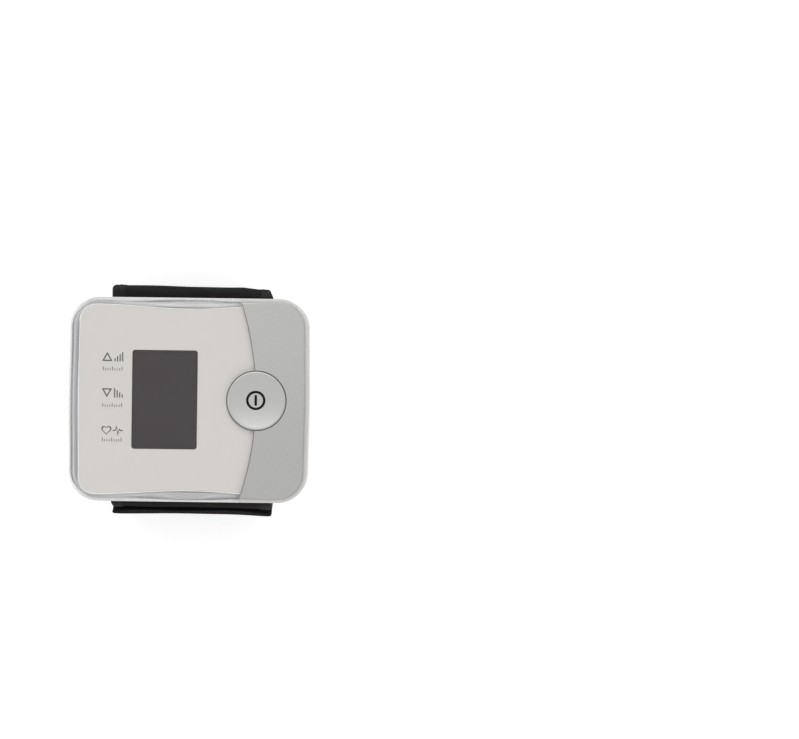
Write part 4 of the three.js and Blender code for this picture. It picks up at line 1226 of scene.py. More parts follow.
@dataclass
class FrontOfHousing:
    """The silver end with its platform, the clear cover and the printed panel."""

    form: HousingForm
    window: tuple[float, float] = (22.3, 33.7)
    glass: tuple[float, float] = (26.0, 36.0)
    glass_height: tuple[float, float] = (86.0, 87.8)
    glass_chamfer: float = 0.2
    display_x: float = -8.1
    collar_wall: float = 2.0
    collar_room: float = 1.25
    platform_grow: float = 0.15
    platform_wall: float = 1.5
    front_wall: float = 2.6
    case_post: tuple[float, float, float] = (3.0, 1.2, 87.2)
    board_post: tuple[float, float, float] = (2.3, 1.1, 84.8)
    board_post_low: float = 81.8
    post_tops: tuple[float, float] = (87.2, 90.0)
    recess_fit: float = 0.45
    recess_round: float = 0.24

    def posts(self) -> tuple[list[Shape], list[Shape]]:
        """Gives the screw posts under the face, and their bores."""
        form = self.form
        board_x, board_y = form.board_screws
        places = [(place, self.case_post, form.parting, 40) for place in form.four_places()]
        for x in (-board_x, board_x):
            places.append(((x, board_y), self.board_post, self.board_post_low, 36))
        posts, bores = [], []
        for (x, y), (radius, bore, bore_top), low, steps in places:
            posts.append(bar(radius, x, y, low, self.post_tops[x > 0], steps))
            bores.append(bar(bore, x, y, low - 1, bore_top, 24))
        return posts, bores

    def silver_end(self) -> None:
        """Builds the front housing: silver end, platform, collar and screw posts."""
        form, below = self.form, self.form.parting - 1
        under, top = form.platform_under, form.platform_top
        piece = make_piece("front_shell", form.front_envelope(form.parting))
        carve(piece, Cut.TAKE, form.arc_drum(form.arc_gap / 2, 1))
        carve(piece, Cut.JOIN, prism(form.panel_outline(self.platform_grow), form.parting, top))
        carve(piece, Cut.TAKE, prism(form.panel_outline(-self.platform_wall), below, under))
        inside = prism(form.body_outline(self.front_wall), below, form.face - form.wall)
        hollow = make_piece("hollow", inside)
        carve(hollow, Cut.TAKE, form.arc_drum(form.arc_gap / 2 + form.wall, 1))
        collar = form.button_bore + self.collar_wall
        carve(hollow, Cut.TAKE, bar(collar, form.button_x, 0, under, form.face, 120))
        carve(piece, Cut.TAKE, hollow)
        carve(piece, Cut.TAKE, bar(collar + self.collar_room, form.button_x, 0, below, under, 120))
        posts, bores = self.posts()
        carve(piece, Cut.JOIN, bar(collar, form.button_x, 0, under, top, 120), *posts)
        room = 2 * form.fit
        seat = window_outline(self.glass[0] + room, self.glass[1] + room, self.display_x)
        glass_hole = prism(seat, under - 1, top + 0.5)
        carve(piece, Cut.TAKE, form.button_mouth(form.parting), *bores, glass_hole)
        nodes = ["front_housing"]
        dress(even_shading(piece), "housing_silver", "monitor", nodes, Finish.HOUSING_SILVER)

    def clear_cover(self) -> None:
        """Builds the clear cover, with a recess whose inner corner is rounded."""
        form = self.form
        piece = make_piece("clear_lens", form.front_envelope(form.parting + 0.06))
        carve(piece, Cut.KEEP, form.panel_side())
        rings = [at_height(form.panel_outline(self.recess_fit), form.parting - 1)]
        for angle in quarter(5):
            grow = self.recess_fit - self.recess_round * (1 - math.cos(angle))
            height = form.panel_top + 0.2 - self.recess_round * (1 - math.sin(angle))
            rings.append(at_height(form.panel_outline(grow), height))
        carve(piece, Cut.TAKE, loft(rings))
        carve(piece, Cut.TAKE, form.button_mouth(form.parting - 1))
        dress(even_shading(piece), "clear_acrylic", "monitor", ["clear_cover"], Finish.CLEAR_ACRYLIC)

    def printed_panel(self) -> None:
        """Builds the printed panel with its display window."""
        form = self.form
        sheet = prism(form.panel_outline(0), form.platform_top, form.panel_top)
        piece = make_piece("printed_face", sheet)
        carve(piece, Cut.KEEP, form.panel_side())
        window = prism(window_outline(*self.window, self.display_x), form.parting, form.face)
        round_hole = bar(form.button_bore, form.button_x, 0, form.parting, form.face, 144)
        carve(piece, Cut.TAKE, window, round_hole)
        dress(even_shading(piece), "panel_print", "monitor", ["face_panel"], Finish.PANEL_PRINT)

    def seal_and_shade(self) -> None:
        """Builds a thin grey bonding strip under the clear cover's flat rim, whose grey also paints the
        shade seen in that rim.
        """
        form = self.form
        low = form.parting + 0.005
        # Painted shade: the grey strip stands for the shade seen in the rim as well as the adhesive.
        piece = make_piece("cover_seal", prism(form.front_outline(1.0), low, low + 0.04))
        carve(piece, Cut.TAKE, prism(form.panel_outline(0.35), low - 1, low + 1))
        carve(piece, Cut.KEEP, form.arc_drum(-1.0, -1))
        dress(piece, "housing_silver", "monitor", (), Finish.SEAL_AND_SHADE_GREY)

    def painted_highlight_ring(self) -> None:
        """Builds a thin near-white ring round the printed panel inside the cover's recess: a painted
        highlight where the recess's rounded edge catches the light.
        """
        form = self.form
        # Painted highlight: a near-white ring just outside the panel's edge.
        outside = prism(form.panel_outline(0.4), form.panel_top - 0.12, form.panel_top - 0.06)
        piece = make_piece("face_border", outside)
        carve(piece, Cut.TAKE, prism(form.panel_outline(0.03), form.platform_top, form.face))
        carve(piece, Cut.KEEP, form.panel_side())
        dress(piece, "panel_print", "monitor", (), Finish.HIGHLIGHT_RING_WHITE)

    def display(self) -> None:
        """Builds the display glass, with a small chamfer round its top."""
        (width, height), (low, high), chamfer = self.glass, self.glass_height, self.glass_chamfer
        rings = [
            at_height(window_outline(width - 2 * inset, height - 2 * inset, self.display_x), level)
            for inset, level in ((0.0, low), (0.0, high - chamfer), (chamfer, high))
        ]
        piece = make_piece("display_pane", loft(rings))
        dress(piece, "display_dark", "monitor", ["display_glass"], Finish.DISPLAY_DARK)

    def build(self) -> None:
        """Builds all the pieces of the front."""
        self.silver_end()
        self.clear_cover()
        self.printed_panel()
        self.seal_and_shade()
        self.painted_highlight_ring()
        self.display()


class Label(Enum):
    """The small signs printed beside the display."""

    UPPER = "rising bars beside a peak"
    LOWER = "falling bars beside a hollow"
    PULSE = "a heart beside a beat line"


@dataclass
class FaceSigns:
    """Plain signs printed on the panel, each with a row of ticks beside it."""

    form: HousingForm
    x: float = -25.9
    rows: tuple[tuple[Label, float, float], ...] = (
        (Label.UPPER, 14.4, 10.3),
        (Label.LOWER, 2.1, -2.1),
        (Label.PULSE, -10.7, -13.85),
    )
    spread: float = 1.85
    bar_heights: tuple[float, ...] = (1.1, 1.8, 2.5, 3.2)
    bar_pitch: float = 0.86
    bar_width: float = 0.42
    tick_heights: tuple[float, float] = (0.8, 1.35)
    tick_pitch: float = 0.8
    tick_width: float = 0.24
    ink: tuple[float, float] = (-0.01, 0.03)

    def plate(self, outline: np.ndarray) -> Shape:
        """Gives a thin printed area over an outline."""
        return prism(outline, *(self.form.panel_top + level for level in self.ink))

    def closed_line(
        self, outline: np.ndarray, inner: np.ndarray, middle: tuple[float, float]
    ) -> Shape:
        """Gives a thin printed line between two outlines about a point.

        Args:
            outline: The line's outer edge.
            inner: Its inner edge.
            middle: The point that both are drawn about.

        Returns:
            The closed shape.
        """
        low, high = (self.form.panel_top + level for level in self.ink)
        sides = ((outline, low), (outline, high), (inner, high), (inner, low))
        return loft([at_height(side + np.array(middle), level) for side, level in sides], closed=True)

    def bars(
        self, x: float, y: float, heights: Sequence[float], pitch: float, width: float
    ) -> list[Shape]:
        """Gives upright bars that stand on one line.

        Args:
            x: The first bar's middle.
            y: The line's place on the panel.
            heights: Each bar's height.
            pitch: The way from one bar to the next.
            width: A bar's width.

        Returns:
            The bars.
        """
        made = []
        for i, height in enumerate(heights):
            outline = rounded_outline(width / 2, height / 2, width * 0.3, steps=(4, 1, 1))
            made.append(self.plate(outline + np.array([x + i * pitch, y + height / 2])))
        return made

    def triangle(self, x: float, y: float, way: int) -> Shape:
        """Gives a triangle's line, point up where the way is 1.

        Args:
            x: Its middle's x.
            y: Its middle's y.
            way: 1 for point up or -1 for point down.

        Returns:
            The closed shape.
        """
        corners = np.array([[-1.75, -1.5], [1.75, -1.5], [0.0, 1.6]]) * np.array([1, way])
        inner = np.array([[-1.02, -1.08], [1.02, -1.08], [0.0, 0.74]]) * np.array([1, way])
        return self.closed_line(corners, inner, (x, y))

    def heart(self, x: float, y: float) -> Shape:
        """Gives a heart's line: (16 sin^3 t, 13 cos t - 5 cos 2t - 2 cos 3t - cos 4t), scaled.

        Args:
            x: Its middle's x.
            y: Its middle's y.

        Returns:
            The closed shape.
        """
        t = np.linspace(0, TURN, 72, endpoint=False)
        up = 13 * np.cos(t) - 5 * np.cos(2 * t) - 2 * np.cos(3 * t) - np.cos(4 * t)
        curve = np.column_stack([16 * np.sin(t) ** 3, up]) * 0.108 + np.array([0.0, 0.2])
        return self.closed_line(curve, curve * 0.74 + np.array([0.0, 0.02]), (x, y))

    def beat(self, x: float, y: float) -> Shape:
        """Gives a beat line: flat, up, down and flat again, with its thickness measured upwards.

        Args:
            x: Its middle's x.
            y: Its middle's y.

        Returns:
            The closed shape.
        """
        along = x + np.array([-1.7, -0.85, -0.45, 0.05, 0.5, 0.85, 1.7])
        height = y + np.array([0.0, 0.0, 1.3, -1.35, 0.45, 0.0, 0.0])
        half = np.array([0.2, 0.24, 0.62, 0.62, 0.4, 0.24, 0.2]) / 1.1
        upper, lower = np.column_stack([along, height + half]), np.column_stack([along, height - half])
        return self.plate(np.concatenate([lower, upper[::-1]]))

    def label(self, kind: Label, y: float) -> list[Shape]:
        """Gives one sign, centred on a height of the panel.

        Args:
            kind: Which sign it is.
            y: Its middle's y.

        Returns:
            The sign's shapes.
        """
        left, right = self.x - self.spread, self.x + self.spread
        if kind is Label.PULSE:
            return [self.heart(left, y), self.beat(right + 0.15, y)]
        way = 1 if kind is Label.UPPER else -1
        heights = self.bar_heights[::way]
        bars = self.bars(right - 1.05, y - 1.6, heights, self.bar_pitch, self.bar_width)
        return [self.triangle(left, y, way), *bars]

    def build(self) -> None:
        """Builds the panel's signs as one print. Every fourth tick is a long one."""
        parts = []
        ticks = [self.tick_heights[i % 4 == 0] for i in range(9)]
        for kind, y, ticks_y in self.rows:
            parts += self.label(kind, y)
            parts += self.bars(self.x - 3.2, ticks_y - 0.6, ticks, self.tick_pitch, self.tick_width)
        piece = make_piece("face_signs", together(parts))
        dress(piece, "panel_print", "monitor", (), Finish.LABEL_INK)


@dataclass
class PowerButton:
    """The round dished power button with its flange, skirt, stem and on-off sign."""

    form: HousingForm
    radius: float = 10.05
    dish: float = 0.7
    rim: float = 0.45
    flange: tuple[float, float, float] = (11.3, 85.3, 86.1)
    hollow: tuple[float, float] = (8.85, 89.1)
    stem: tuple[float, float] = (2.0, 85.4)
    ring_radius: float = 2.87
    line: float = 0.84
    bar_height: float = 3.7
    bar_half: float = 0.43
    sign_shift: tuple[float, float] = (-0.2, 0.14)

    def dish_height(self, radius: np.ndarray) -> np.ndarray:
        """Gives the dish's height: face - dish * (1 - (r / (radius - rim))^2)."""
        return self.form.face - self.dish * (1 - (radius / (self.radius - self.rim)) ** 2)

    def cap(self) -> None:
        """Builds the button's turned body."""
        inner = np.linspace(0, self.radius - self.rim, 26)
        turn = quarter(8)[1:]
        edge_r = self.radius - self.rim * (1 - np.sin(turn))
        edge_z = self.form.face - self.rim * (1 - np.cos(turn))
        flange_r, flange_low, flange_top = self.flange
        hollow_r, ceiling = self.hollow
        stem_r, stem_low = self.stem
        profile = [
            *zip(inner, self.dish_height(inner)),
            *zip(edge_r, edge_z),
            (self.radius, flange_top),
            (flange_r, flange_top),
            (flange_r, flange_low),
            (hollow_r, flange_low),
            (hollow_r, ceiling),
            (stem_r, ceiling),
            (stem_r, stem_low),
            (0, stem_low),
        ]
        piece = make_piece("button_cap", turned(profile, (self.form.button_x, 0), 144))
        dress(piece, "button_silver", "button", ["power_button"], Finish.BUTTON_SILVER)

    def on_dish(self, radius: np.ndarray, angle: np.ndarray, rise: np.ndarray) -> np.ndarray:
        """Gives points at a radius and angle about the sign's middle and a rise above the dish.

        Args:
            radius: The way from the sign's middle.
            angle: The angle about it.
            rise: The height above the dish.

        Returns:
            The points, in an array with a last axis of 3.
        """
        x, y = radius * np.cos(angle) + self.sign_shift[0], radius * np.sin(angle) + self.sign_shift[1]
        z = self.dish_height(np.hypot(x, y)) + rise
        return np.stack(np.broadcast_arrays(self.form.button_x + x, y, z), axis=-1)

    def sign(self) -> None:
        """Builds the ring and the upright stroke, as ink that follows the dish."""
        angle = np.linspace(0, TURN, 120, endpoint=False)
        radii = self.ring_radius + self.line * np.array([-0.5, -0.25, 0, 0.25, 0.5, 0.5, -0.5])
        rise = np.array([0.025, 0.03, 0.03, 0.03, 0.025, -0.03, -0.03])
        ring = loft(self.on_dish(radii[:, None], angle, rise[:, None]), closed=True)
        x, y = rounded_outline(self.bar_half, self.bar_height / 2, 0.35, steps=(6, 2, 16)).T
        levels = np.array([-0.03, 0.03])[:, None]
        stroke = loft(self.on_dish(np.hypot(x, y), np.arctan2(y, x), levels))
        piece = make_piece("button_sign", together([ring, stroke]))
        dress(piece, "black_plastic", "button", (), Finish.SIGN_INK)

    def build(self) -> None:
        """Builds the button and its sign."""
        self.cap()
        self.sign()


@dataclass
class RearOfHousing:
    """The pale rear housing with its saddle, battery bay, posts and ribs, and the battery door."""

    form: HousingForm
    loop: "CuffLoop"
    edge: float = 1.5
    bay_half: float = 25.3
    bay_height: tuple[float, float] = (59.55, 81.35)
    bay_inner_y: float = -21.05
    bay_wall: float = 1.3
    shelf_width: float = 5.6
    shelf_thick: float = 1.4
    rib_half: float = 0.8
    bay_rib: tuple[float, float] = (-31.8, 63.8)
    cradle: tuple[float, float] = (6.84, 70.3)
    cell_bore: float = 5.55
    cell_y: float = -26.6
    cells_z: tuple[float, float] = (65.1, 75.8)
    door_inner_y: float = -33.2
    door_round: float = 0.35
    door_skirt: tuple[float, float] = (25.0, -32.1)
    skirt_wall: float = 1.0
    groove_pitch: float = 1.6
    scoop: tuple[float, float] = (7.0, 0.9)
    pump: tuple[float, float] = (23.2, 72.2)
    pump_x: tuple[float, float] = (-24.5, 12.8)
    pump_bore: float = 7.9
    motor_length: float = 24.0
    channel_half: float = 28.3
    guard_wall: tuple[float, float] = (1.9, 1.6)
    post_radius: float = 3.0
    screw_hole: tuple[float, float, float] = (2.2, 1.2, 16.0)
    port_bore: tuple[float, float] = (2.0, 65.5)
    retainer_bore: tuple[float, float, float] = (3.2, 61, 64.9)

    @property
    def side(self) -> float:
        """The y of the housing's lower side, where the battery door is."""
        return -self.form.body_width / 2

    def envelope(self) -> Shape:
        """Gives the outside, rounded at its lower edge and just broken at the parting line."""
        form = self.form
        rings = [
            (self.edge * (1 - math.sin(a)), form.rear + self.edge * (1 - math.cos(a)))
            for a in quarter(8)
        ]
        for inset, drop in ((0.0, 0.2), (0.05, 0.07), (0.2, 0.0)):
            rings.append((inset, form.parting - drop))
        return loft([at_height(form.body_outline(inset), height) for inset, height in rings])

    def finger_scoop(self) -> Shape:
        """Gives the round scoop at the end of the battery door."""
        radius, depth = self.scoop
        return bar(radius, self.bay_half + 1, self.side - radius + depth, *self.cells_z, 96)

    def ribs(self) -> list[Shape]:
        """Gives the posts of the case screws, the ribs under the cells and the pump's cradles."""
        form, low = self.form, self.form.rear + 1
        (outer_y, rib_top), (half_y, cradle_top) = self.bay_rib, self.cradle
        bay_y = (outer_y, self.bay_inner_y + 0.65, rib_top)
        pump_y = (self.pump[0] - half_y, self.pump[0] + half_y, cradle_top)
        bay = [(share * self.bay_half, *bay_y) for share in (-0.5, 0.5)]
        pump = [(self.pump_x[0] + share * self.motor_length, *pump_y) for share in (0.25, 0.75)]
        post_top = form.parting - 0.02
        made = [bar(self.post_radius, x, y, low, post_top, 40) for x, y in form.four_places()]
        for x, y0, y1, top in bay + pump:
            made.append(block((x - self.rib_half, y0, low), (x + self.rib_half, y1, top)))
        return made

    def bores(self) -> list[Shape]:
        """Gives the room for a cell, the pump, the cuff's port and the screws."""
        form = self.form
        made = [
            bar_along_x(self.cell_bore, -self.bay_half, self.bay_half, self.cell_y, self.cells_z[0]),
            bar_along_x(self.pump_bore, *self.pump_x, *self.pump),
            bar(self.port_bore[0], 0, form.port_y, form.rear + 3, self.port_bore[1], 24),
            *form.retainer_bars(*self.retainer_bore),
        ]
        wide, narrow, depth = self.screw_hole
        low, sunk, top = form.rear - 1, form.rear + depth, form.parting + 1
        profile = [(0, low), (wide, low), (wide, sunk), (narrow, sunk), (narrow, top), (0, top)]
        return made + [turned(profile, place, 36) for place in form.four_places()]

    def shell(self) -> None:
        """Builds the rear housing."""
        form, side, half, wall = self.form, self.side, self.bay_half, self.bay_wall
        low, high = self.bay_height
        piece = make_piece("rear_shell", self.envelope())
        room = prism(form.body_outline(form.wall), form.rear + form.wall, form.parting + 1)
        carve(piece, Cut.TAKE, room)
        bay_corner = (half + wall, self.bay_inner_y + wall, high + wall)
        carve(piece, Cut.JOIN, block((-half - wall, side + 1, form.rear + 1.5), bay_corner))
        plate = prism(form.body_outline(1), form.parting - self.shelf_thick, form.parting)
        shelf = make_piece("shelf", plate)
        opening = prism(form.body_outline(self.shelf_width), form.parting - 3, form.parting + 1)
        carve(shelf, Cut.TAKE, opening)
        carve(piece, Cut.JOIN, shelf)
        carve(piece, Cut.TAKE, block((-half, side - 1, low), (half, self.bay_inner_y, high)))
        around, beyond = self.guard_wall
        guard = make_piece("guard", self.loop.whole_bar(around, self.channel_half + beyond))
        carve(guard, Cut.KEEP, self.envelope())
        carve(piece, Cut.JOIN, guard)
        carve(piece, Cut.JOIN, *self.ribs())
        carve(piece, Cut.TAKE, self.loop.whole_bar(form.fit, self.channel_half))
        seat_corner = (half + wall, self.door_inner_y + 0.2, high + 1.05)
        carve(piece, Cut.TAKE, block((-half - wall, side - 1, low - 1.05), seat_corner))
        carve(piece, Cut.TAKE, self.finger_scoop())
        carve(piece, Cut.TAKE, *self.bores())
        dress(even_shading(piece), "housing_white", "monitor", ["rear_housing"], Finish.HOUSING_WHITE)

    def door(self) -> None:
        """Builds the battery door: a plate with rounded edges, a skirt, grip grooves and the scoop."""
        side, soft, inner_y = self.side, self.door_round, self.door_inner_y
        low, high = self.bay_height
        middle, half_x, half_z = (low + high) / 2, self.bay_half + 1, (high - low) / 2 + 0.75
        insets = [(0.0, inner_y)]
        insets += [(soft * (1 - math.sin(a)), side + soft * (1 - math.cos(a))) for a in quarter(5)[::-1]]
        rings = []
        for inset, y in insets:
            x, z = rounded_outline(half_x - inset, half_z - inset, 0.9 - inset, steps=(6, 2, 2)).T
            rings.append(np.column_stack([x, np.full(len(x), y), z + middle]))
        piece = make_piece("bay_door", loft(rings))
        (skirt_half, skirt_y), wall = self.door_skirt, self.skirt_wall
        skirt = block((-skirt_half, inner_y - 0.8, low + 0.3), (skirt_half, skirt_y, high - 0.3))
        skirt = make_piece("skirt", skirt)
        within = skirt_half - wall
        hollow = block((-within, inner_y, low + 0.3 + wall), (within, skirt_y + 1.1, high - 0.3 - wall))
        carve(skirt, Cut.TAKE, hollow)
        carve(piece, Cut.JOIN, skirt)
        grooves = [
            block((x, side - 1, middle - 5.5), (x + 0.7, side + 0.35, middle + 5.5))
            for x in np.arange(10.5, 17.5, self.groove_pitch)
        ]
        carve(piece, Cut.TAKE, *grooves)
        carve(piece, Cut.TAKE, self.finger_scoop())
        dress(even_shading(piece), "housing_white", "door", ["battery_door"], Finish.HOUSING_WHITE)

    def build(self) -> None:
        """Builds the rear housing and its door."""
        self.shell()
        self.door()


# The cuff


def smooth_step(value: np.ndarray) -> np.ndarray:
    """Gives 3 t^2 - 2 t^3 of a value clipped to 0 and 1."""
    t = np.clip(value, 0, 1)
    return t * t * (3 - 2 * t)


def hump(value: np.ndarray, width: float) -> np.ndarray:
    """Gives exp(-(value / width)^2), a hump of height 1 about 0."""
    return np.exp(-((value / width) ** 2))


@dataclass
class CuffLoop:
    """The oval of the cuff's outer surface in the plane of Y and Z, and the cloth's way on it.

    A point at angle t is (w |cos t|^(2/p), h |sin t|^(2/p)) with the signs of the cosine and sine,
    where p is power_top above the middle and power_bottom below it. Lengths run from the hinge up
    and over.
    """

    overall: float = 80.2
    top: float = 62.0
    flat: float = 0.5
    power_top: float = 2.7
    power_bottom: float = 2.5
    centre_y: float = 1.2
    steps: int = 5760

    def __post_init__(self) -> None:
        """Works out the table of points, normals, lengths and bends."""
        angle = np.linspace(0, TURN, self.steps + 1)
        half_y, half_z = self.overall / 2 - self.centre_y, (self.top + self.flat) / 2
        across, up = np.cos(angle), np.sin(angle)
        power = np.where(up >= 0, self.power_top, self.power_bottom)
        u, v = (np.sign(part) * np.abs(part) ** (2 / power) for part in (across, up))
        normal_y = np.sign(u) * np.abs(u) ** (power - 1) / half_y
        normal_z = np.sign(v) * np.abs(v) ** (power - 1) / half_z
        size = np.hypot(normal_y, normal_z)
        y, z = self.centre_y + half_y * u, self.top - half_z + half_z * v
        length = np.concatenate([[0], np.cumsum(np.hypot(np.diff(y), np.diff(z)))])
        turn = np.unwrap(np.arctan2(normal_z, normal_y))
        bend = np.abs(np.gradient(turn, np.maximum(length, 1e-9 * np.arange(len(length)))))
        self.columns = {"y": y, "z": z, "ny": normal_y / size, "nz": normal_z / size, "bend": bend}
        self.lengths = length
        self.length = float(length[-1])

    def read(self, column: str, length: np.ndarray) -> np.ndarray:
        """Gives a column of the table at lengths round the loop."""
        return np.interp(np.mod(length, self.length), self.lengths, self.columns[column])

    def point_and_normal(self, length: np.ndarray) -> tuple[np.ndarray, ...]:
        """Gives the oval's y and z, and its outward unit normal's, at lengths round the loop.

        Args:
            length: The way round the loop.

        Returns:
            Four arrays: y, z, ny and nz.
        """
        y, z, ny, nz = (self.read(column, length) for column in ("y", "z", "ny", "nz"))
        size = np.hypot(ny, nz)
        return y, z, ny / size, nz / size

    def slouch(self, x: np.ndarray, y: np.ndarray, z: np.ndarray, length: np.ndarray) -> np.ndarray:
        """Gives how far the cloth lies inwards of the plain oval.

        The cloth sags in beside the hinge, most of all at its right-hand end, and stands out a little
        on the strap's side. A low ripple and puckers along the bound edges cover everything but the
        parts under the housing and on the table.

        Args:
            x: The way across the cuff.
            y: The oval's y.
            z: The oval's z.
            length: The way round the loop.

        Returns:
            The way inwards.
        """
        free = smooth_step((55 - z) / 14) * smooth_step((z - 3) / 9)
        sag = 0.62 + 0.0079 * (x + 27) + 0.75 * smooth_step((x - 14) / 13) - 0.14 * hump(x - 17, 2.2)
        hinge_side, strap_side = smooth_step((y - 8) / 22), smooth_step((-y - 8) / 22)
        swell = 0.5 * smooth_step((x - 11) / 17)
        ripple = 0.09 * np.sin(length / 4.7 + x / 8.0) + 0.07 * np.sin(length / 2.9 - x / 5.0 + 1.3)
        pucker = 0.06 * np.sin(length / 1.25 + 2.0 * np.sin(length / 8.0) + 0.4 * x)
        pucker = pucker * smooth_step((np.abs(x) - 20) / 5)
        return free * (hinge_side * sag - strap_side * swell + ripple + pucker)

    def surface(self, length: np.ndarray, x: np.ndarray, depth: np.ndarray) -> np.ndarray:
        """Gives points of the cuff.

        Args:
            length: The way round the loop.
            x: The way across the cuff.
            depth: How far the point lies inside the cuff's outer surface.

        Returns:
            The points, y - ny * d and z - nz * d at each length, in an array with a last axis of 3.
        """
        length, x, depth = np.broadcast_arrays(length, x, depth)
        y, z, ny, nz = self.point_and_normal(length)
        inward = depth + self.slouch(x, y, z, length)
        drawn_in = smooth_step((x - 18) / 10) * 0.045 - smooth_step((-x - 18) / 10) * 0.02
        drawn = 1 - drawn_in * smooth_step((y - 20) / 20) * smooth_step((52 - z) / 16)
        return np.stack([x * drawn, y - ny * inward, np.maximum(z - nz * inward, 0.0)], axis=-1)

    def whole_bar(self, grow: float, half: float) -> Shape:
        """Gives the oval as a solid bar across the housing, grown outwards.

        Args:
            grow: How far it lies outside the oval.
            half: Half its length.

        Returns:
            The closed shape.
        """
        y, z, ny, nz = self.point_and_normal(np.linspace(0, self.length, 192, endpoint=False))
        y, z = y + ny * grow, z + nz * grow
        return loft([np.column_stack([np.full(len(y), x), y, z]) for x in (-half, half)])


def girth(section: np.ndarray) -> np.ndarray:
    """Gives the way round a closed section, from its first point back to it."""
    steps = np.diff(np.vstack([section, section[:1]]), axis=0)
    return np.concatenate([[0], np.cumsum(np.hypot(steps[:, 0], steps[:, 1]))])


def mirrored(half: np.ndarray) -> np.ndarray:
    """Gives a closed section from its right half, whose two ends lie on the middle line."""
    return np.concatenate([half, half[1:-1][::-1] * np.array([-1, 1])])


def cloth_piece(
    name: str, points: np.ndarray, along: np.ndarray, round_way: np.ndarray, finish: Finish
) -> bpy.types.Object:
    """Makes a closed cloth form of rings, with its place on the cloth as a UV map in millimetres.

    Args:
        name: The piece's name.
        points: The rings' points, with shape (rings, points, 3).
        along: The way along the cloth at each ring.
        round_way: The way round the ring at each point, and once more at its end.
        finish: The cloth's finish.

    Returns:
        The object.
    """
    rings, columns = points.shape[:2]
    r, c = np.meshgrid(np.arange(rings - 1), np.arange(columns), indexing="ij")
    u = np.stack([along[r], along[r], along[r + 1], along[r + 1]], axis=-1)
    v = np.stack([round_way[c], round_way[c + 1], round_way[c + 1], round_way[c]], axis=-1)
    sides = np.stack([u, v], axis=-1).reshape(-1, 2)
    first = np.column_stack([np.full(columns, along[0]), round_way[:columns][::-1]])
    last = np.column_stack([np.full(columns, along[-1]), round_way[:columns]])
    return make_piece(name, loft(points), finish, np.concatenate([sides, first, last]), 50.0)


@dataclass
class CuffPart:
    """One end of the cuff: where it lies on the loop, and how it rides.

    It reaches from its start to its end, and its free end is at its end where way is 1 and at its start
    where way is -1. Its body is None where it rides on no single body.
    """

    name: str
    start: float
    end: float
    way: int
    body: str | None
    cloth_node: str

    @property
    def free(self) -> float:
        """The place of the free end."""
        return self.end if self.way > 0 else self.start

    def short_of_end(self, gap: float) -> tuple[float, float]:
        """Gives the part's start and end, with its free end drawn in by a gap."""
        return (self.start, self.end - gap) if self.way > 0 else (self.start + gap, self.end)


@dataclass
class Layer:
    """One of the two layers in a cuff part's pocket, between two depths."""

    name: str
    half: float
    outer: float
    inner: float
    hem: float
    fullness: float
    finish: Finish
    slot: str


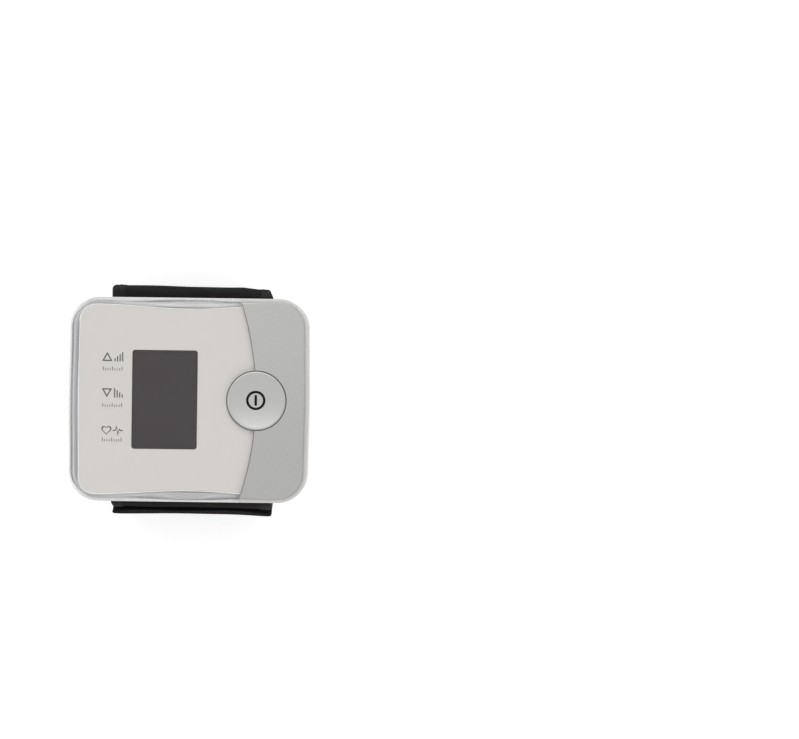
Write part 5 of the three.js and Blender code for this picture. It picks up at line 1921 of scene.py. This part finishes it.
@dataclass
class Cuff:
    """The cuff: outer cloth, bound edges with stitching, padded lining, strap and hook tape."""

    form: HousingForm
    loop: CuffLoop
    half: float = 27.8
    depth: float = 5.2
    cover: float = 1.0
    lip: float = 1.0
    edge: float = 1.1
    port_hole: float = 3.9
    row_pitch: float = 0.9
    stitch_pitch: float = 2.7
    outer_stitches: float = 25.0
    inner_stitches: float = 25.5
    strap_stitches: float = 25.4
    strap_thread: float = -2.36
    tape_from: float = 23.6
    tape_under: float = 24.4
    tape_limit: float = 28.1
    pad_half: float = 26.6
    pad_depth: float = 4.4
    pad_crown: float = 0.9
    pad_hem: float = 1.3
    seam: float = 12.0
    slit: float = 5.0
    strap_half: float = 27.85
    strap_corner: float = 9.0
    strap_round: float = 0.55
    strap_shift: float = 0.2
    strap_drop: float = 1.04
    strap_from: float = -120.0
    strap_to: float = -76.0
    strap_hinge: float = -84.0
    hooks_from: float = -113.9
    hooks_to: float = -89.6
    hooks_half: float = 22.3
    hook_pitch: float = 1.3

    def parts(self) -> list[CuffPart]:
        """Gives the part that is fixed under the housing, and the arm beyond it, which rides on no
        single body.
        """
        fixed_end = self.loop.length + self.strap_hinge - self.slit
        return [
            CuffPart("fixed", self.seam, fixed_end, 1, "monitor", "cuff"),
            CuffPart("arm", self.strap_hinge, self.seam, -1, None, "arm"),
        ]

    def settle_on(self, piece: bpy.types.Object, part: CuffPart, slot: str, node: str = "") -> None:
        """Puts a piece on its body, or, where its part has no body, bakes its place into its mesh.

        Args:
            piece: The object.
            part: The cuff part that it belongs to.
            slot: The record's material slot.
            node: The last word of the CAD node that it replaces, if it replaces one.
        """
        dress(piece, slot, part.body, [f"{part.cloth_node}_{node}"] if node else ())
        if part.body is None:
            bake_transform(piece)

    def lengths(self, start: float, end: float) -> np.ndarray:
        """Gives evenly spaced lengths between two places."""
        return np.linspace(start, end, max(int(round((end - start) / self.row_pitch)), 2) + 1)

    def band(
        self, name: str, lengths: np.ndarray, section: np.ndarray, finish: Finish
    ) -> bpy.types.Object:
        """Makes a cloth piece that keeps one section of pairs of the way across and the depth."""
        points = self.loop.surface(lengths[:, None], section[None, :, 0], section[None, :, 1])
        return cloth_piece(name, points, lengths, girth(section), finish)

    def cover_section(self) -> np.ndarray:
        """Gives the outer cloth's section: a wide channel with rounded edges and two lips."""
        turn, half_turn, tip = quarter(5)[1:], np.linspace(0, math.pi, 9), self.lip / 2
        flat, floor = np.linspace(0, self.half - self.edge, 15), np.linspace(self.half - self.lip, 0, 10)
        x = [
            flat,
            self.half - self.edge * (1 - np.sin(turn)),
            self.half - tip + tip * np.cos(half_turn),
            floor,
        ]
        depth = [
            0 * flat,
            self.edge * (1 - np.cos(turn)),
            self.depth - tip + tip * np.sin(half_turn),
            np.full(len(floor), self.cover),
        ]
        return mirrored(np.column_stack([np.concatenate(x), np.concatenate(depth)]))

    def outer_cloth(self, part: CuffPart) -> None:
        """Builds the outer cloth of a part, puckered along its stitching.

        Args:
            part: The part of the cuff.
        """
        section, lengths = self.cover_section(), self.lengths(part.start, part.end)
        x, depth = section[None, :, 0], section[None, :, 1]
        near_edge = hump(np.abs(x) - 24.6, 1.6) * (depth < 0.5)
        pucker = 0.05 * np.sin(TURN * lengths[:, None] / self.stitch_pitch) * near_edge
        points = self.loop.surface(lengths[:, None], x, depth + pucker + 0.06 * near_edge)
        piece = cloth_piece(f"{part.name}_cloth", points, lengths, girth(section), Finish.CUFF_FABRIC)
        if part.body == "monitor":
            holes = self.form.retainer_bars(3.2, 59, 63)
            carve(piece, Cut.TAKE, *holes, bar(self.port_hole, 0, self.form.port_y, 59, 63))
        self.settle_on(piece, part, "cuff_fabric", "cover")

    def binding_section(self, side: int) -> np.ndarray:
        """Gives the section of the tape that wraps one edge of the cuff.

        Args:
            side: -1 for the left edge or 1 for the right.

        Returns:
            Pairs of the way across and the depth.
        """
        turn, lip = quarter(6), self.lip / 2
        rows = []
        for out in (0.15, 0.02):
            bend_x, bend_depth = self.half - self.edge, self.edge
            under_x = np.linspace(self.half - lip, self.tape_under, 5)
            x = [
                np.linspace(self.tape_from, bend_x, 6),
                bend_x + (self.edge + out) * np.sin(turn[1:]),
                self.half - lip + (lip + out) * np.cos(turn),
                under_x[1:],
            ]
            depth = [
                np.full(6, -out),
                bend_depth - (self.edge + out) * np.cos(turn[1:]),
                self.depth - lip + (lip + out) * np.sin(turn),
                (self.depth + out + 0.14 * (self.half - lip - under_x) / 2.9)[1:],
            ]
            rows.append(np.column_stack([np.concatenate(x), np.concatenate(depth)]))
        rows[0][:, 0] = np.minimum(rows[0][:, 0], self.tape_limit)
        return np.concatenate([rows[0], rows[1][::-1]]) * np.array([side, 1])

    def binding(self, part: CuffPart) -> None:
        """Builds the tapes that bind both edges of a part, and the one across its free end.

        Args:
            part: The part of the cuff.
        """
        lengths = self.lengths(part.start, part.end)
        for side, word in ((-1, "left"), (1, "right")):
            section, name = self.binding_section(side), f"{part.name}_binding_{word}"
            self.settle_on(self.band(name, lengths, section, Finish.EDGE_BINDING), part, "cuff_fabric")
        turn = np.linspace(-math.pi / 2, math.pi / 2, 11)
        across = np.linspace(-28.0, 28.0, 57)
        rows = []
        for out in (0.26, 0.02):
            half, flap = self.depth / 2 + out, np.linspace(-4.2, -0.4, 5)
            nose = 0.35 * np.cos(turn) * (half / 2.86) - 0.1
            x = np.concatenate([flap, nose, flap[::-1]])
            bow = self.depth / 2 + half * np.sin(turn)
            depth = np.concatenate([np.full(5, -out), bow, np.full(5, self.depth + out)])
            rows.append(np.column_stack([x, depth]))
        section = np.concatenate([rows[0], rows[1][::-1]])
        length, depth = part.free + part.way * section[None, :, 0], section[None, :, 1]
        crown = (1 - (across[:, None] / self.pad_half) ** 2).clip(0) * (depth > self.depth - 0.3)
        points = self.loop.surface(length, across[:, None], depth + 0.35 * self.pad_crown * crown)
        name = f"{part.name}_end_binding"
        piece = cloth_piece(name, points, across, girth(section), Finish.EDGE_BINDING)
        dress(piece, "cuff_fabric", part.body or "arm")

    def thread(self, name: str, places: np.ndarray, turned_across: np.ndarray) -> bpy.types.Object:
        """Makes short stitches of thread whose ends dip into the cloth.

        Args:
            name: The piece's name.
            places: The middle of each stitch, as (way along, way across, depth).
            turned_across: For each stitch, whether it lies across the cuff.

        Returns:
            The object.
        """
        t = np.array([-0.95, -0.722, 0.0, 0.722, 0.95])[:, None]
        radius = np.array([0.04, 0.11, 0.13, 0.11, 0.04])[:, None]
        dip = np.array([0.16, 0.06, 0.03, 0.06, 0.16])[:, None]
        angle = np.linspace(0, TURN, 6, endpoint=False)
        s, x, depth = places.T[:, :, None, None]
        outward, across = np.where(depth < 2, 1.0, -1.0), turned_across[:, None, None]
        side = radius * np.cos(angle)
        points = self.loop.surface(
            s + np.where(across, side, t),
            x + np.where(across, t, side),
            depth + outward * dip + radius * np.sin(angle),
        )
        return make_piece(name, many_lofts(points), Finish.THREAD, sharp=60)

    def stitching(self, part: CuffPart) -> None:
        """Builds the rows of stitches along both edges of a part, outside and inside.

        Args:
            part: The part of the cuff.
        """
        lengths = np.arange(part.start + 1.6, part.end - 1.2, self.stitch_pitch)
        faces = ((self.outer_stitches, -0.3), (self.inner_stitches, self.depth + 0.42))
        rows = [(side * x, depth) for x, depth in faces for side in (-1, 1)]
        places = np.array([(s, x, depth) for x, depth in rows for s in lengths])
        piece = self.thread(f"{part.name}_stitching", places, np.zeros(len(places), bool))
        self.settle_on(piece, part, "cuff_fabric")

    def layer_section(self, layer: Layer) -> np.ndarray:
        """Gives a pocket layer's section, which is full over its middle and thin at its hems.

        Args:
            layer: The layer.

        Returns:
            Pairs of the way across and the depth.
        """
        hem, turn = layer.hem, np.linspace(0, math.pi, 7)[1:-1]
        wide = np.linspace(-layer.half + hem, layer.half - hem, 41)
        full = (layer.half - np.abs(wide)) / layer.fullness
        swell = hem + ((layer.inner - layer.outer) / 2 - hem) * smooth_step(full)
        side, edge = layer.half - hem + hem * np.sin(turn), -hem * np.cos(turn)
        x = np.concatenate([wide, side, wide[::-1], -side])
        level = (layer.outer + layer.inner) / 2 + np.concatenate([-swell, edge, swell, -edge])
        return np.column_stack([x, level])

    def core(self, part: CuffPart) -> None:
        """Builds the springy curler sheet and the air bladder that lie in a part's pocket.

        The bladder's two films meet in a thin welded hem and are fuller over its middle.

        Args:
            part: The part of the cuff.
        """
        lengths = self.lengths(*part.short_of_end(self.lip + 0.2))
        for layer in (
            Layer("curler", 23.0, 1.2, 2.2, 0.5, 0.5, Finish.CURLER, "curler_plastic"),
            Layer("bladder", 24.5, 2.4, 4.2, 0.1, 3.0, Finish.BLADDER, "bladder_film"),
        ):
            section = self.layer_section(layer)
            piece = self.band(f"{part.name}_{layer.name}", lengths, section, layer.finish)
            if layer.name == "curler" and part.body == "monitor":
                carve(piece, Cut.JOIN, *self.form.retainer_bars(2.9, 60.3, 63.9, 40))
                bores = self.form.retainer_bars(1.2, 60.8, 65, 24)
                port = bar(self.port_hole, 0, self.form.port_y, 57.6, 62)
                carve(piece, Cut.TAKE, *bores, port)
            self.settle_on(piece, part, layer.slot, layer.name)

    def pad(self, part: CuffPart) -> None:
        """Builds a part's padded lining: crowned, with a sewn channel round it and folds at bends.

        Its inner face lies at depth + crown * (1 - (x / pad_half)^2)^0.6, less a groove along the
        channel.

        Args:
            part: The part of the cuff.
        """
        lengths = self.lengths(*part.short_of_end(self.pad_hem))
        across, along = np.linspace(-self.pad_half, self.pad_half, 77), lengths[:, None]
        far = np.abs(along - part.free)
        channel = hump(np.abs(across) - 22.6, 0.8) * smooth_step((far - 3) / 3)
        cross_seam = hump(far - 5.4, 0.8) * (np.abs(across) < 23)
        bend = smooth_step((self.loop.read("bend", along) - 0.03) / 0.05)
        fold = np.sin(TURN * (along + 0.9 * np.sin(across / 6.0)) / 5.2)
        ripple = 0.1 * np.sin(along / 3.1 + across / 4.2)
        middle = (1 - (across / self.pad_half) ** 2).clip(0)
        crown = self.pad_crown * middle**0.6 * (0.35 + 0.65 * smooth_step(far / 7))
        groove = 0.55 * np.maximum(channel, cross_seam)
        inner = self.depth + crown + 0.3 * bend * fold * middle**0.5 + ripple * middle - groove
        depth = np.concatenate([np.full_like(inner, self.pad_depth), inner[:, ::-1]], axis=1)
        points = self.loop.surface(along, np.concatenate([across, across[::-1]]), depth)
        round_way = np.concatenate([across, 54 + across, [81.6]]) + self.pad_half
        piece = cloth_piece(f"{part.name}_pad", points, lengths, round_way, Finish.LINING_FABRIC)
        self.settle_on(piece, part, "lining_fabric", "lining")

    def strap(self) -> None:
        """Builds the closing strap as one cloth, sewn to the arm's end.

        Its end has rounded corners and drops onto the cuff below it.
        """
        lengths = self.lengths(self.strap_from, self.strap_to)
        along, corner = lengths[:, None], self.strap_corner
        into = np.maximum(corner - (along - self.strap_from), 0)
        half = self.strap_half - (corner - np.sqrt(np.maximum(corner**2 - into**2, 0)))
        half = np.maximum(half, self.strap_half - 8.4)
        turn, wide = np.linspace(0, math.pi, 9)[1:-1], np.linspace(-1, 1, 41)
        flat, edge = np.ones(41), -np.cos(turn)
        side = np.concatenate([wide, np.ones(7), wide[::-1], -np.ones(7)])
        round_x = np.concatenate([0 * wide, np.sin(turn), 0 * wide, -np.sin(turn)])
        level = np.concatenate([-flat, edge, flat, -edge])
        sewn = smooth_step((along - self.strap_hinge) / 8.0)
        lift = smooth_step((along - (self.strap_hinge - 3.0)) / 3.0)
        drop = self.strap_drop * smooth_step((self.strap_from + 7.0 - along) / 6.0)
        outer, inner = -2.4 + sewn + drop, -1.2 + lift + drop
        taper = 1 - 0.3 * smooth_step(1 - (along - self.strap_from) / 0.9)
        depth = (outer + inner) / 2 + (inner - outer) / 2 * taper * level
        x = side * (half - self.strap_round) + round_x * self.strap_round - self.strap_shift
        points = self.loop.surface(along, x, depth)
        last = np.column_stack([x[-1], depth[-1] - (outer + inner)[-1] / 2])
        piece = cloth_piece("closing_strap", points, lengths, girth(last), Finish.CUFF_FABRIC)
        dress(piece, "cuff_fabric", None, ["strap_base", "strap_tail"])
        self.bend_at_peel_line(piece)

    def strap_stitching(self) -> None:
        """Builds the stitches along the strap's edges, across its end and where it is sewn on."""
        rows = np.arange(self.strap_from + 10, self.strap_hinge - 4, self.stitch_pitch)
        half, level = self.strap_stitches, self.strap_thread
        edge_rows = [(s, side * half, level) for side in (-1, 1) for s in rows]
        end_row = [(self.strap_from + 2.6, x, -1.6) for x in np.arange(-17.5, 18, self.stitch_pitch)]
        sewn_rows = [
            (s, x, level + smooth_step((s - self.strap_hinge) / 8.0))
            for s in (self.strap_hinge + 1.6, self.strap_to - 1.6)
            for x in np.arange(-half, half + 0.4, self.stitch_pitch)
        ]
        places = np.array(edge_rows + end_row + sewn_rows)
        piece = self.thread("strap_stitching", places, np.arange(len(places)) >= len(edge_rows))
        dress(piece, "cuff_fabric", None)
        self.bend_at_peel_line(piece)

    def bend_at_peel_line(self, piece: bpy.types.Object) -> None:
        """Bakes a piece's place into its mesh."""
        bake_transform(piece)

    def hooks(self) -> None:
        """Builds the hook tape: a thin ground and rows of bent hooks that point at the cuff."""
        start, end, half, pitch = self.hooks_from, self.hooks_to, self.hooks_half, self.hook_pitch
        wide = np.linspace(-half, half, 31)
        section = np.column_stack([np.concatenate([wide, wide[::-1]]), np.repeat([-1.1, -0.85], 31)])
        piece = self.band("hook_ground", self.lengths(start, end), section, Finish.HOOK_TAPE)
        dress(piece, "hook_tape", "strap", ["hook_patch"])
        rows, columns = np.meshgrid(
            np.arange(start + 1, end - 0.8, pitch), np.arange(-half + 1, half - 0.8, pitch)
        )
        stagger = (np.round((rows - start) / pitch) % 2) * pitch / 2
        s, x = rows.ravel()[:, None, None], (columns + stagger).ravel()[:, None, None]
        rise = np.array([-0.86, -0.6, -0.38, -0.3, -0.36])[:, None]
        lean = np.array([0.0, 0.02, 0.1, 0.26, 0.4])[:, None]
        radius = np.array([0.13, 0.11, 0.1, 0.09, 0.05])[:, None]
        angle = np.linspace(0, TURN, 4, endpoint=False)
        points = self.loop.surface(s + lean, x + radius * np.cos(angle), rise + radius * np.sin(angle))
        piece = make_piece("hook_rows", many_lofts(points), Finish.BLACK_PLASTIC, sharp=60)
        dress(piece, "hook_tape", "strap")

    def build(self) -> None:
        """Builds the whole cuff."""
        for part in self.parts():
            self.outer_cloth(part)
            self.binding(part)
            self.stitching(part)
            self.core(part)
            self.pad(part)
        self.strap()
        self.strap_stitching()
        self.hooks()


# Inner pieces


@dataclass
class InnerWorks:
    """Finishes for the CAD pieces that are kept as they are, by how their names start."""

    finishes: tuple[tuple[Finish, tuple[str, ...]], ...] = (
        (Finish.BLACK_PLASTIC, ("button_switch", "processor_chip", "buzzer", "pump_head")),
        (Finish.WHITE_PLASTIC, ("switch_plunger", "display_frame", "pressure_sensor")),
        (Finish.WHITE_PLASTIC, ("air_manifold", "cuff_port")),
        (Finish.CONTACT_RUBBER, ("contact_strip",)),
        (Finish.BOARD_GREEN, ("main_board",)),
        (Finish.FOAM_BLACK, ("pump_sleeve",)),
        (Finish.SILICONE, ("tube_",)),
        (Finish.CELL_LOWER, ("battery_lower",)),
        (Finish.CELL_UPPER, ("battery_upper",)),
        (Finish.STEEL, ("pump_motor", "release_valve", "cuff_retainer", "contact_")),
        (Finish.STEEL, ("case_screw", "board_screw", "retainer_screw")),
    )

    def build(self) -> None:
        """Puts each kept CAD piece's finish on it: the first whose names fit."""
        for name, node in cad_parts.items():
            finish = next((finish for finish, starts in self.finishes if name.startswith(starts)), None)
            if finish is None or node.hide_render:
                continue
            node.data.materials.clear()
            node.data.materials.append(finish.material())
            log.info("%s keeps its CAD shape, finish %s", name, finish.value.name)


# The studio


@dataclass
class Studio:
    """A white floor, plain soft light and the camera of the photograph, in metres."""

    face_height: float = 0.091
    distance: float = 2.3
    camera_place: tuple[float, float] = (0.0717, 0.0113)
    turn: float = 0.75
    sensor: float = 36.0
    field_width: float = 0.27166
    aim: Point = (0.0, 0.0, 0.06)
    surround: tuple[tuple[float, float], ...] = ((0.1, 0.28), (0.75, 0.52))
    floor_half: float = 1.1
    floor_height: float = -0.0001
    floor_lift: float = 0.5

    def camera(self) -> None:
        """Places the camera straight above the face."""
        data = bpy.data.cameras.new("camera")
        data.sensor_width = self.sensor
        data.lens = self.sensor * self.distance / self.field_width
        data.clip_end = 20.0
        made = bpy.data.objects.new("camera", data)
        made.location = (*self.camera_place, self.face_height + self.distance)
        made.rotation_euler = (0, 0, math.radians(self.turn))
        bpy.context.scene.collection.objects.link(made)
        bpy.context.scene.camera = made

    def softbox(
        self, name: str, place: Point, size: tuple[float, float], power: float, mirrored: bool = True
    ) -> None:
        """Adds a rectangular lamp that looks at the object and isn't seen through the clear cover.

        Args:
            name: The lamp's name.
            place: The lamp's middle.
            size: Its width and height.
            power: Its power in watts.
            mirrored: Whether glossy surfaces mirror it.
        """
        data = bpy.data.lights.new(name, "AREA")
        data.shape, data.size, data.size_y, data.energy = "RECTANGLE", *size, power
        made = bpy.data.objects.new(name, data)
        made.location = place
        made.visible_glossy, made.visible_transmission = mirrored, False
        way = Vector(self.aim) - Vector(place)
        made.rotation_euler = way.to_track_quat("-Z", "Y").to_euler()
        bpy.context.scene.collection.objects.link(made)

    def sky(self) -> None:
        """Sets a surround: white to the camera, and to the object a dim room with a pale ceiling."""
        world = bpy.data.worlds.new("surround")
        bpy.context.scene.world = world
        recipe = Recipe(world, "ShaderNodeOutputWorld")
        height = recipe.split(recipe.signal("ShaderNodeTexCoord", "Generated"))[2]
        ramp = recipe.node("ShaderNodeValToRGB", {0: height})
        for stop, (place, grey) in zip(ramp.color_ramp.elements, self.surround):
            stop.position, stop.color = place, (grey, grey, grey, 1.0)
        tone = Signal(recipe, ramp.outputs[0])
        room = recipe.node("ShaderNodeBackground", {"Color": tone, "Strength": 1.0})
        white = recipe.node("ShaderNodeBackground", {"Color": WHITE, "Strength": 1.0})
        recipe.finish(recipe.choose(recipe.ray("Camera"), room, white))

    def floor(self) -> None:
        """Lays a white floor that keeps the object's shadow."""
        material = bpy.data.materials.new("floor_white_finish")
        recipe = Recipe(material, "ShaderNodeOutputMaterial")
        tone = recipe.mix(recipe.noise(recipe.place(), 3.0), (0.8, 0.8, 0.8), (0.82, 0.82, 0.82))
        shade = recipe.node("ShaderNodeBsdfDiffuse", {"Color": tone})
        lift = recipe.node("ShaderNodeEmission", {"Color": WHITE, "Strength": self.floor_lift})
        shaders = (Signal(recipe, shader.outputs[0]) for shader in (shade, lift))
        both = recipe.node("ShaderNodeAddShader", dict(enumerate(shaders)))
        seen = recipe.ray("Camera") + recipe.ray("Glossy") + recipe.ray("Transmission")
        recipe.finish(recipe.choose(seen.maths("MINIMUM", seen, 1.0), shade, both))
        corners = np.array([[-1, -1], [1, -1], [1, 1], [-1, 1]]) * self.floor_half
        mesh = bpy.data.meshes.new("floor")
        mesh.from_pydata(at_height(corners, self.floor_height).tolist(), [], [[0, 1, 2, 3]])
        mesh.materials.append(material)
        made = bpy.data.objects.new("floor", mesh)
        bpy.context.scene.collection.objects.link(made)

    def build(self) -> None:
        """Sets up camera, surround, lamps and floor."""
        self.camera()
        self.sky()
        self.softbox("key_light", (-0.2, 1.1, 1.5), (1.7, 1.15), 12.5)
        self.softbox("top_light", (0.05, 0.58, 1.8), (1.3, 0.42), 2.2)
        self.softbox("fill_light", (0.3, -1.2, 1.55), (2.5, 1.7), 18.0, mirrored=False)
        self.floor()
        bpy.context.scene.view_settings.view_transform = "Standard"


def main() -> None:
    """Builds the studio and then each part of the monitor."""
    logging.basicConfig(level=logging.INFO, format="%(name)s: %(message)s")
    Studio().build()
    form, loop = HousingForm(), CuffLoop()
    FrontOfHousing(form).build()
    FaceSigns(form).build()
    PowerButton(form).build()
    RearOfHousing(form, loop).build()
    Cuff(form, loop).build()
    InnerWorks().build()


if __name__ == "__main__":
    main()
